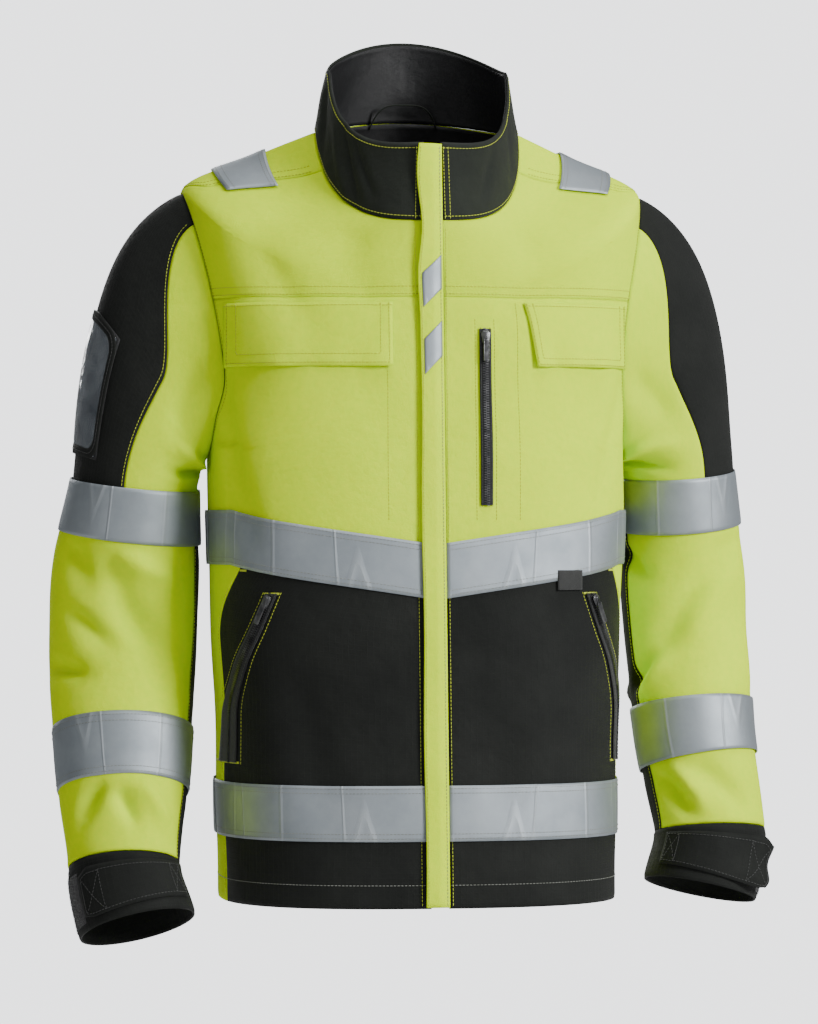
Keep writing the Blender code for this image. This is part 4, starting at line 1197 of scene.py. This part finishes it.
def make_chest_flaps():
    for side, x0, x1, slant in (("r", -0.038, -0.185, 0.0), ("l", 0.085, 0.186, -0.010)):
        chart = front_patch(x0, x1, FLAP_BOTTOM, FLAP_TOP, slant)
        body = f"chest_flap_{side}"

        def wavy(s, r, phase=0.6 if side == "r" else 2.1):
            loose = (1 - r) ** 2
            return loose * (0.0016 + 0.0016 * np.sin(9.5 * s + phase) + 0.0008 * np.sin(21 * s))

        cloth(body, TORSO, chart, TRIM_LIFT, "twill", body=body, thick=0.0012, swell=wavy, cell=0.003)
        for inset in (0.022, 0.075):
            s = np.concatenate([np.full(16, inset), np.linspace(inset, 1 - inset, 50), np.full(16, 1 - inset)])
            deep = inset * abs(x1 - x0) / (FLAP_TOP - FLAP_BOTTOM)
            r = np.concatenate([np.linspace(0.97, deep, 16), np.full(50, deep), np.linspace(deep, 0.97, 16)])
            p, q = chart(s, r)
            rough = lifted(TORSO, p, q, TRIM_LIFT + 0.0012 + 0.0001 + wavy(s, r))
            line(*resampled(rough, outward(TORSO.base, TORSO, p, q)), body=body, thread="olive_thread")
        s = np.linspace(0.01, 0.99, 50)
        p, q = chart(s, np.full(50, 0.95))
        line(*resampled(lifted(TORSO, p, q, TRIM_LIFT + 0.0013), outward(TORSO.base, TORSO, p, q)), body=body,
             thread="olive_thread")


def resampled(places, out, step=0.003):
    """A line's places and outward directions at even steps."""
    far = np.concatenate([[0], np.cumsum(np.linalg.norm(np.diff(places, axis=0), axis=-1))])
    at = np.linspace(0, far[-1], max(2, round(far[-1] / step) + 1))
    return (np.stack([np.interp(at, far, places[:, k]) for k in range(3)], -1),
            np.stack([np.interp(at, far, out[:, k]) for k in range(3)], -1))


# The front fastening.


def front_place(x, height, lift):
    """A place beside the straight front edge, lifted square to it."""
    out = np.array([0, -1, FRONT_LEAN]) / math.hypot(1, FRONT_LEAN)
    return point(x, HEM_FRONT_Y + FRONT_LEAN * height, height) + np.asarray(lift)[..., None] * out


FRONT_OUT = np.array([0, -1, FRONT_LEAN]) / math.hypot(1, FRONT_LEAN)


def front_strip(name, x0, x1, low, high, lift, thick, material_, body="root", slant=0.0, wave=None,
                columns=10, cell=0.004):
    """A strip on the straight front, between two distances from the centre and two heights."""
    rows = max(4, round((high - low) / cell))
    s, r = np.meshgrid(np.linspace(0, 1, columns + 1), np.linspace(0, 1, rows + 1))
    x, height = mix(x0, x1, s), mix(low, high, r) + slant * s
    rise = lift + thick - 0.0002 * np.exp(-((np.minimum(s, 1 - s) * abs(x1 - x0) / 0.0015) ** 2))
    if wave is not None:
        sideways, raised = wave(s, height)
        x, rise = x + sideways, rise + raised
    verts = front_place(x, height, rise)
    count = columns + 1
    j, i = np.meshgrid(np.arange(rows), np.arange(columns), indexing="ij")
    a = j * count + i
    faces = np.stack([a, a + 1, a + 1 + count, a + count], axis=-1).reshape(-1, 4)
    corner = verts.reshape(-1, 3)[faces[0]]
    if np.cross(corner[1] - corner[0], corner[3] - corner[0]) @ FRONT_OUT < 0:
        faces = faces[:, ::-1]
    uv = np.stack([s * abs(x1 - x0), r * (high - low)], axis=-1).reshape(-1, 2)
    made = add_mesh(f"{name}_cloth", verts.reshape(-1, 3), faces.tolist(), material_, uv)
    wall = made.modifiers.new("Thickness", "SOLIDIFY")
    wall.thickness, wall.offset = thick, -1
    settle(made, body, material_, name)
    declare_sheet(name, verts, faces, False)
    return made


def flap_wave(s, height):
    """The free edge wanders and lifts a little, most of all near the neck."""
    free = (1 - s) ** 1.5
    high = ease((height - 0.50) / 0.12)
    sway = 0.0006 * np.sin(height * 31) + high * 0.0022 * np.sin((height - 0.5) * 62 + 0.8)
    raise_ = 0.0004 + 0.0004 * np.sin(height * 47) + high * 0.0009 * (1 + np.sin((height - 0.5) * 75))
    return free * sway, free * raise_ + 0.0005 * np.sin(np.pi * s) - 0.0020 * ease((s - 0.55) / 0.45)


def flap_row(x, low, high, thread, lift=0.0044):
    height = np.linspace(low, high, 240)
    s = (x - FLAP_LEFT) / (FLAP_RIGHT - FLAP_LEFT)
    sideways, raised = flap_wave(np.full(240, s), height)
    places = front_place(x + sideways, height, lift - 0.00005 + raised)
    line(*resampled(places, np.broadcast_to(FRONT_OUT, places.shape)), body="storm_flap", thread=thread)


def make_front():
    for side, x0, x1 in (("r", -0.0134, -0.0030), ("l", 0.0030, 0.0134)):
        front_strip(f"front_zip_tape_{side}", x0, x1, 0.002, ZIP_HIGH, -0.0022, TRIM, "zip", columns=6)
    front_strip("storm_flap", FLAP_LEFT, FLAP_RIGHT, 0.001, 0.690, FLAP_LIFT, 0.0012, "twill",
                body="storm_flap", wave=flap_wave, columns=14)
    for name, low, high in (("chevron_upper", 0.541, 0.572), ("chevron_lower", 0.480, 0.512)):
        front_strip(name, -0.0100, 0.0070, low, high, FLAP_LIFT + 0.0014, 0.0005, "tape",
                    body="storm_flap", slant=0.017,
                    wave=lambda s, h: flap_wave(0.16 + s * 0.77, h), columns=8, cell=0.002)
    flap_row(-0.0112, 0.004, 0.686, "lime_thread")
    flap_row(0.0062, 0.004, 0.686, "grey_thread")


# Zips. A slider has a shell with a rounded nose and a bridge; its puller hangs from the bridge.


def rounded_solid(name, outline, low, high, place, axes, bevel, material_):
    """A plate with a given outline (across, along), between two heights, its edges rounded."""
    shape = bmesh.new()
    bottom = [shape.verts.new((x, y, low)) for x, y in outline]
    face = shape.faces.new(bottom)
    raised = bmesh.ops.extrude_face_region(shape, geom=[face])
    top = [v for v in raised["geom"] if isinstance(v, bmesh.types.BMVert)]
    bmesh.ops.translate(shape, verts=top, vec=(0, 0, high - low))
    bmesh.ops.recalc_face_normals(shape, faces=shape.faces[:])
    turn = Matrix([[axes[0][k], axes[2][k], axes[1][k]] for k in range(3)]).to_4x4()
    turn.translation = Vector(place)
    if turn.determinant() < 0:
        bmesh.ops.reverse_faces(shape, faces=shape.faces[:])
    bmesh.ops.transform(shape, matrix=turn, verts=shape.verts[:])
    mesh = bpy.data.meshes.new(name)
    shape.to_mesh(mesh)
    shape.free()
    mesh.materials.append(MATERIALS[material_])
    mesh.shade_smooth()
    made = bpy.data.objects.new(name, mesh)
    bpy.context.scene.collection.objects.link(made)
    soft = made.modifiers.new("Rounded", "BEVEL")
    soft.width, soft.segments, soft.limit_method, soft.angle_limit = bevel, 2, "ANGLE", math.radians(40)
    return made


def stadium(half_wide, low, high, corner, count=5):
    """A rounded rectangle's outline, anticlockwise."""
    found = []
    for cx, cy, start in ((half_wide - corner, high - corner, 0), (-half_wide + corner, high - corner, 90),
                          (-half_wide + corner, low + corner, 180), (half_wide - corner, low + corner, 270)):
        for k in range(count):
            angle = math.radians(start + 90 * k / (count - 1))
            found.append((cx + corner * math.cos(angle), cy + corner * math.sin(angle)))
    return found


def joined(parts, name):
    """Several solids as one piece, with their modifiers applied."""
    bpy.context.view_layer.update()
    graph = bpy.context.evaluated_depsgraph_get()
    shape = bmesh.new()
    materials = []
    for part in parts:
        mesh = bpy.data.meshes.new_from_object(part.evaluated_get(graph))
        materials = list(mesh.materials)
        shape.from_mesh(mesh)
        bpy.data.meshes.remove(mesh)
    whole = bpy.data.meshes.new(name)
    shape.to_mesh(whole)
    shape.free()
    whole.materials.append(materials[0])
    for part in parts:
        bpy.data.objects.remove(part, do_unlink=True)
    made = bpy.data.objects.new(name, whole)
    bpy.context.scene.collection.objects.link(made)
    return made


def make_slider(name, seat, axes, width=0.0085, length=0.011, thick=0.0020, puller=True):
    """A slider's shell and bridge, and its puller. axes are across, out and along."""
    low, high = -length / 2, length / 2
    nose = [(width / 2, high * 0.55), (width * 0.30, high), (-width * 0.30, high), (-width / 2, high * 0.55),
            (-width * 0.36, low), (width * 0.36, low)]
    parts = [rounded_solid("shell", nose, 0.0, thick * 0.55, seat, axes, 0.0004, "metal"),
             rounded_solid("crown", stadium(width * 0.34, low * 0.80, high * 0.82, 0.0012), thick * 0.50,
                           thick * 0.85, seat, axes, 0.0003, "metal"),
             rounded_solid("bridge", stadium(width * 0.11, low * 0.55, high * 0.75, 0.0006), thick * 0.80,
                           thick * 1.35, seat, axes, 0.0003, "metal")]
    settle(joined(parts, f"{name}_slider_metal"), f"{name}_slider", "metal", f"{name}_slider")
    if not puller:
        return
    hinge = Vector(seat) + Vector(axes[1]) * 0.0022 + Vector(axes[2]) * 0.003
    parts = [rounded_solid("eye", stadium(0.0018, -0.0070, 0.0012, 0.0010), -0.0004, 0.0005, hinge, axes,
                           0.0002, "metal"),
             rounded_solid("plate", stadium(0.0027, -0.0258, -0.0050, 0.0012), -0.0005, 0.0005, hinge, axes,
                           0.0003, "metal")]
    for x0, x1, y0, y1 in ((-0.0025, -0.0017, -0.0250, -0.0058), (0.0017, 0.0025, -0.0250, -0.0058),
                           (-0.0020, 0.0020, -0.0250, -0.0242), (-0.0020, 0.0020, -0.0066, -0.0058)):
        rim = [(x1, y1), (x0, y1), (x0, y0), (x1, y0)]
        parts.append(rounded_solid("rim", rim, 0.0003, 0.0008, hinge, axes, 0.0002, "metal"))
    settle(joined(parts, f"{name}_puller_metal"), f"{name}_puller", "metal", f"{name}_puller")


def torso_axes(a, b):
    """Across, out and along for a step between two places on the unfolded torso."""
    ends = TORSO.base(np.array([a[0], b[0]], float), np.array([a[1], b[1]], float))
    along_ = Vector(ends[1] - ends[0]).normalized()
    out = Vector(outward(TORSO.base, TORSO, (a[0] + b[0]) / 2, (a[1] + b[1]) / 2))
    out = (out - along_ * out.dot(along_)).normalized()
    return [out.cross(along_).normalized(), out, along_], Vector(ends[1])


def teeth_on(places, out, body="root"):
    TEETH.setdefault(body, []).append((places, out))


def surface_zip(name, x, height, half, clear, back=1):
    """A zip sewn on the torso along a line: woven tape, coil and slider."""
    u, v = angle_at(x, height)

    def chart(s, r):
        h = mix(height[0], height[-1], r)
        return angle_at(np.interp(h, height, x) + mix(-half, half, s), h)

    cloth(name, TORSO, chart, 0.0012, "zip", thick=TRIM, dip=0.0002, cell=0.0018)
    for off in (-half * 0.78, half * 0.78):
        front_row(np.asarray(x) + off, height, thread="dark_thread", lift=0.0021)
    teeth_on(*resampled(lifted(TORSO, u, v, 0.0024), outward(TORSO.base, TORSO, u, v), 0.002))
    places = np.stack([u, v], -1)
    axes, top = torso_axes(places[-1 - back], places[-1])
    make_slider(name, top + axes[1] * clear - axes[2] * (0.011 / 2 + 0.002), axes)


def make_zips():
    height = np.linspace(*CHEST_ZIP, 25)
    surface_zip("chest_zip", np.full(25, CHEST_ZIP_X), height, 0.0055, 0.0038, back=4)
    for side in "rl":
        turn = sign(side)
        height = np.linspace(HAND_ZIP[0][0], HAND_ZIP[-1][0], 25)
        x = turn * along(HAND_ZIP, height)
        surface_zip(f"hand_zip_{side}", x, height, 0.0050, 0.0048, back=6)
        for off in (0.0075, -0.0075):
            front_row(x + off, height)
        for end in (0, -1):
            spot = np.array([-0.006, 0.006])
            front_row(x[end] + spot, np.full(2, height[end]), kind="bartack")
    places = front_place(0.0, np.linspace(0.004, ZIP_HIGH - 0.004, 300), -0.0016)
    TEETH.setdefault("root_front", []).append((places, np.broadcast_to(FRONT_OUT, places.shape)))
    tree = along_group("Zip teeth along a line", teeth=True)
    sizes = {"Spacing": 0.0011, "Length": 0.0008, "Width": 0.0026, "Height": 0.0013, "Offset": 0.0011}
    for body, lines in TEETH.items():
        made = run_tree(f"{body}_zip_teeth", lines, tree, sizes, "metal")
        if body == "root_front":
            settle(made, "root", "metal", "front_zip_chain")
        else:
            settle(made, body, "metal")
    axes = [Vector((1, 0, 0)), Vector(FRONT_OUT), Vector((0, FRONT_LEAN, 1)).normalized()]
    seat = Vector(front_place(0.0, ZIP_HIGH - 0.012, -0.0003))
    make_slider("front_zip", seat, axes, 0.0092, 0.0150, 0.0016, puller=False)


# Sleeves.


def black_half(t):
    """Half the angle that the black outer panel covers."""
    return mix(38.0, 78.0, ease(t / 0.45)) - 4 * ease((t - 0.5) / 0.5)


def make_sleeve(side):
    arm, body, top = ARMS[side], f"sleeve_{side}", f"top_{side}"

    def outer(s, r):
        t = mix(0.0, SLEEVE_SEAM, r)
        return mix(-black_half(t), black_half(t), s), t

    def inner(s, r):
        t = mix(0.0, SLEEVE_SEAM, r)
        return mix(black_half(t), 360 - black_half(t), s), t

    cloth(f"sleeve_panel_{side}", arm, outer, -SHELL, "ripstop", body=top)
    cloth(f"upper_sleeve_{side}", arm, inner, -SHELL, "twill", body=top)
    under = (154.0, 222.0) if side == "r" else (163.0, 232.0)
    cloth(f"lower_sleeve_{side}", arm, lambda s, r: (mix(under[1] - 360, under[0], s), mix(SLEEVE_SEAM, 3.99, r)),
          -SHELL, "twill", body=body)
    cloth(f"under_sleeve_{side}", arm, lambda s, r: (mix(*under, s), mix(SLEEVE_SEAM, 3.99, r)), -SHELL,
          "ripstop", body=body, nodes=())
    for word, (low, high) in (("upper", UPPER_TAPE), ("lower", LOWER_TAPE)):
        cloth(f"{word}_sleeve_tape_{side}", arm, tube(low, high), TRIM_LIFT, "tape", body=body, thick=TRIM,
              ring=True, dip=0.0003)
        a = np.linspace(0, 360, 130)
        for inset in TAPE_ROWS:
            row(arm, a, mix(low, high, inset / TAPE_WIDTH), body=body, thread="grey_thread",
                lift=TRIM_LIFT + TRIM + 0.0001)
    cloth(f"cuff_{side}", arm, tube(4.0, 4.99), -SHELL, "ripstop", body=body, thick=0.0018, ring=True,
          dip=0.0010)
    a = np.linspace(0, 360, 130)
    row(arm, a, 4.06 + 0 * a, body=body, thread="dark_thread")
    row(arm, a, 4.90 + 0 * a, body=body, thread="dark_thread")
    t = np.linspace(0.03, 1.0, 60)
    for turn in (-1, 1):
        row(arm, turn * (black_half(t) - 2.2), t, body=top)
    t = np.linspace(1.5, 3.97, 90)
    for a in (under[0] + 2.4, under[1] - 2.4):
        row(arm, a + 0 * t, t, body=body)
    make_tab(side)


def make_tab(side):
    arm, body = ARMS[side], f"cuff_tab_{side}"

    def chart(s, r):
        # The free end is cut to a blunt point.
        blunt = 1 - 0.22 * ease((s - 0.88) / 0.12)
        return mix(TAB_SEWN, TAB_FREE, s), 4.47 + (0.35 - 0.70 * r) * blunt

    def loose(s, r):
        free = 0.0012 if side == "r" else 0.0085
        return free * ease((s - 0.55) / 0.45) ** 1.5 * (1 + 0.3 * np.sin(7 * r))

    cloth(body, arm, chart, TAB_LIFT - 0.0004, "ripstop", body=body, thick=0.0016, swell=loose, cell=0.003)
    for insets in (((0.03, 0.15), (0.08, 0.92)), ((0.78, 0.96), (0.10, 0.90))):
        (s0, s1), (r0, r1) = insets
        s = np.array([s0, s1, s1, s0, s0, s1, s1, s0])
        r = np.array([r0, r0, r1, r1, r0, r1, r0, r1])
        at, fine = np.arange(8), np.linspace(0, 7, 85)
        p, q = chart(np.interp(fine, at, s), np.interp(fine, at, r))
        lift = TAB_LIFT + 0.0013 + loose(np.interp(fine, at, s), np.interp(fine, at, r))
        line(*resampled(lifted(arm, p, q, lift), outward(arm.base, arm, p, q)), body=body,
             thread="dark_thread")
    for r in (0.09, 0.91):
        s = np.linspace(0.16, 0.78, 60)
        p, q = chart(s, np.full(60, r))
        line(*resampled(lifted(arm, p, q, TAB_LIFT + 0.0013 + loose(s, r)), outward(arm.base, arm, p, q)),
             body=body, thread="dark_thread")


def make_fastening_patch(side):
    """The patch of hooks on the cuff that the tab's free end closes on."""
    arm = ARMS[side]
    made = cloth(f"cuff_patch_{side}", arm, lambda s, r: (mix(30.0, -26.0, s), mix(4.86, 4.10, r)), 0.0002,
                 "hooks", body=f"sleeve_{side}", thick=0.0008, nodes=(), cell=0.003)
    tree = bpy.data.node_groups.new("Hooks on a patch", "GeometryNodeTree")
    tree.interface.new_socket("Geometry", in_out="INPUT", socket_type="NodeSocketGeometry")
    for word in ("Density", "Length", "Radius"):
        tree.interface.new_socket(word, in_out="INPUT", socket_type="NodeSocketFloat")
    tree.interface.new_socket("Seed", in_out="INPUT", socket_type="NodeSocketInt")
    tree.interface.new_socket("Material", in_out="INPUT", socket_type="NodeSocketMaterial")
    tree.interface.new_socket("Geometry", in_out="OUTPUT", socket_type="NodeSocketGeometry")
    given, done = tree.nodes.new("NodeGroupInput"), tree.nodes.new("NodeGroupOutput")
    spots = tree.nodes.new("GeometryNodeDistributePointsOnFaces")
    hook = tree.nodes.new("GeometryNodeMeshCone")
    hook.inputs["Vertices"].default_value = 4
    hook.inputs["Side Segments"].default_value = 1
    placed = tree.nodes.new("GeometryNodeInstanceOnPoints")
    lean = tree.nodes.new("FunctionNodeRandomValue")
    lean.data_type = "FLOAT_VECTOR"
    lean.inputs[0].default_value, lean.inputs[1].default_value = (-0.6, -0.6, -3.1), (0.6, 0.6, 3.1)
    turned = tree.nodes.new("FunctionNodeRotateRotation")
    turned.rotation_space = "LOCAL"
    euler = tree.nodes.new("FunctionNodeEulerToRotation")
    whole, painted = tree.nodes.new("GeometryNodeRealizeInstances"), tree.nodes.new("GeometryNodeSetMaterial")
    for a, b in ((given.outputs["Geometry"], spots.inputs["Mesh"]),
                 (given.outputs["Density"], spots.inputs["Density"]), (given.outputs["Seed"], spots.inputs["Seed"]),
                 (given.outputs["Seed"], lean.inputs["Seed"]),
                 (spots.outputs["Points"], placed.inputs["Points"]),
                 (given.outputs["Radius"], hook.inputs["Radius Bottom"]),
                 (given.outputs["Length"], hook.inputs["Depth"]), (hook.outputs["Mesh"], placed.inputs["Instance"]),
                 (lean.outputs[0], euler.inputs[0]), (spots.outputs["Rotation"], turned.inputs["Rotation"]),
                 (euler.outputs[0], turned.inputs["Rotate By"]), (turned.outputs[0], placed.inputs["Rotation"]),
                 (placed.outputs[0], whole.inputs[0]), (whole.outputs[0], painted.inputs["Geometry"]),
                 (given.outputs["Material"], painted.inputs["Material"]), (painted.outputs[0], done.inputs[0])):
        tree.links.new(a, b)
    guide = made.copy()
    guide.data = made.data.copy()
    guide.name = f"hooks_guide_{side}"
    for key in list(guide.keys()):
        del guide[key]
    guide.parent = None
    guide.modifiers.clear()
    bpy.context.scene.collection.objects.link(guide)
    guide.matrix_world = made.matrix_world
    work = guide.modifiers.new("Hooks", "NODES")
    work.node_group = tree
    names = {item.name: item.identifier for item in tree.interface.items_tree
             if item.item_type == "SOCKET" and item.in_out == "INPUT"}
    for word, value in (("Density", 1.3e6), ("Length", 0.0012), ("Radius", 0.00012), ("Seed", 4),
                        ("Material", MATERIALS["hooks"])):
        work[names[word]] = value
    bpy.context.view_layer.update()
    mesh = bpy.data.meshes.new_from_object(guide.evaluated_get(bpy.context.evaluated_depsgraph_get()))
    bpy.data.objects.remove(guide, do_unlink=True)
    hooks = bpy.data.objects.new(f"cuff_hooks_{side}", mesh)
    bpy.context.scene.collection.objects.link(hooks)
    settle(hooks, f"sleeve_{side}", "hooks")


def make_identity_pocket():
    arm = ARMS["r"]
    cloth("id_pocket_back", arm, lambda s, r: (mix(-22.0, 44.0, s), mix(0.925, 0.495, r)), 0.0004, "lining",
          body="top_r", thick=TRIM)

    def swell(s, r):
        return 0.0012 * np.sin(np.pi * s) * np.sin(np.pi * r)

    cloth("id_pocket_window", arm, lambda s, r: (mix(-20.0, 42.0, s), mix(0.915, 0.505, r)), 0.0018, "vinyl",
          body="top_r", thick=0.0005, swell=swell, dip=0.0002)

    outline = np.array(stadium(1.0, -1.0, 1.0, 0.26, 9))
    outline = np.vstack([outline, outline[:1]])
    far = np.append(0, np.cumsum(np.linalg.norm(np.diff(outline, axis=0), axis=1)))

    def ring(s, r):
        x, y = (np.interp(s * far[-1], far, outline[:, n]) for n in (0, 1))
        return 11.0 + x * mix(33.5, 28.5, r), 0.710 + y * mix(0.215, 0.185, r)

    cloth("id_pocket_binding", arm, ring, 0.0020, "ripstop", body="top_r", thick=0.0009, ring=True, nodes=(),
          cell=0.0025, dip=0.0003)
    s = np.linspace(0, 1, 160)
    p, q = ring(s, np.full(160, 0.5))
    row(arm, p, q, body="top_r", thread="dark_thread", lift=0.0030)


def make_hang_loop():
    """A ribbed ribbon, sewn at both ends inside the back of the neck."""
    steps, half, drop = 64, 0.032, 0.022
    f = np.linspace(-1, 1, steps + 1)
    centre = np.stack([half * f, 0.010 * f ** 4, -drop * f ** 4 - 0.0016], -1)
    tangent = unit(np.gradient(centre, axis=0))
    side = unit(np.cross(tangent, np.array([0.0, 1.0, 0.0])))
    face = np.cross(side, tangent)
    turn = np.linspace(0, 2 * np.pi, 12, endpoint=False)
    flat = np.sign(np.cos(turn)) * np.abs(np.cos(turn)) ** 0.6 * 0.0008
    wide = np.sign(np.sin(turn)) * np.abs(np.sin(turn)) ** 0.8 * 0.00155
    ribs = 1 + 0.06 * np.cos(np.arange(steps + 1) * np.pi)[:, None, None]
    verts = centre[:, None] + (side[:, None] * flat[:, None] + face[:, None] * wide[:, None]) * ribs
    faces = []
    for k in range(steps):
        for n in range(12):
            m = (n + 1) % 12
            faces.append((k * 12 + n, k * 12 + m, (k + 1) * 12 + m, (k + 1) * 12 + n))
    faces += [tuple(range(12)), tuple(range(steps * 12, steps * 12 + 12))]
    uv = np.stack(np.broadcast_arrays(turn * 0.0005, (f * half)[:, None]), -1).reshape(-1, 2)
    made = add_mesh("hang_loop_ribbon", verts.reshape(-1, 3), faces, "collar", uv)
    shape = bmesh.new()
    shape.from_mesh(made.data)
    bmesh.ops.recalc_face_normals(shape, faces=shape.faces[:])
    shape.to_mesh(made.data)
    shape.free()
    settle(made, "root", "collar", "hang_loop")


# The studio.


FLOOR_RADIUS = 6
FLOOR_HEIGHT = -1.65


def make_studio():
    """A wide pale floor well below the jacket, soft lights and a pale surround."""
    turns = np.linspace(0, 2 * np.pi, 64, endpoint=False)
    mesh = bpy.data.meshes.new("studio_floor")
    rim = [(FLOOR_RADIUS * math.cos(a), FLOOR_RADIUS * math.sin(a), FLOOR_HEIGHT) for a in turns]
    mesh.from_pydata(rim, [], [tuple(range(64))])
    floor = bpy.data.objects.new("studio_floor", mesh)

    def pale(n, shader):
        shader.inputs["Base Color"].default_value = (0.86, 0.86, 0.86, 1)
        shader.inputs["Roughness"].default_value = 0.9

    mesh.materials.append(material("Pale floor", pale))
    bpy.context.scene.collection.objects.link(floor)
    for name, place, aim, size, power in (
            ("key", (2.3, -2.3, 0.7), (0, -0.05, -0.35), 1.0, 150), ("fill", (-2.2, -3.0, 0.1), (0, 0, -0.35), 1.6, 16),
            ("top", (0.3, -0.7, 2.0), (0, 0, -0.3), 1.2, 40), ("back", (-0.6, 2.8, 0.9), (0, 0, -0.3), 1.8, 60)):
        light = bpy.data.lights.new(name, "AREA")
        light.energy, light.size = power, size
        lamp = bpy.data.objects.new(name, light)
        lamp.location = place
        lamp.rotation_euler = (Vector(aim) - Vector(place)).to_track_quat("-Z", "Y").to_euler()
        bpy.context.scene.collection.objects.link(lamp)
    world = bpy.data.worlds.new("studio")
    world.use_nodes = True
    n = Nodes(world.node_tree)
    seen = n.new("ShaderNodeLightPath").outputs["Is Camera Ray"]
    ground = world.node_tree.nodes["Background"]
    ground.inputs[0].default_value = (0.97, 0.98, 1.0, 1)
    world.node_tree.links.new(n.ramp(seen, 0, 1, 0.22, 2.6), ground.inputs[1])
    bpy.context.scene.world = world


CAMERA_TURN = -8.5
CAMERA_DISTANCE = 4.2


def make_camera():
    camera = bpy.data.cameras.new("camera")
    camera.lens, camera.sensor_width = 158.0, 36.0
    eye = bpy.data.objects.new("camera", camera)
    turn = math.radians(CAMERA_TURN)
    back = Vector((math.sin(turn), -math.cos(turn), 0.0))
    right = Vector((math.cos(turn), math.sin(turn), 0.0))
    aim = Vector((0.0, -0.05, -0.386)) + right * -0.003
    eye.location = aim + back * CAMERA_DISTANCE
    eye.rotation_euler = (-back).to_track_quat("-Z", "Y").to_euler()
    bpy.context.scene.collection.objects.link(eye)
    bpy.context.scene.camera = eye


make_studio()
make_camera()
make_fronts()
make_back()
make_collar()
make_lining()
make_body_tapes()
make_pockets()
make_chest_flaps()
make_front()
for side in "rl":
    make_sleeve(side)
    make_fastening_patch(side)
make_identity_pocket()
make_hang_loop()
make_zips()
make_body_rows()
sew()

bpy.context.view_layer.update()
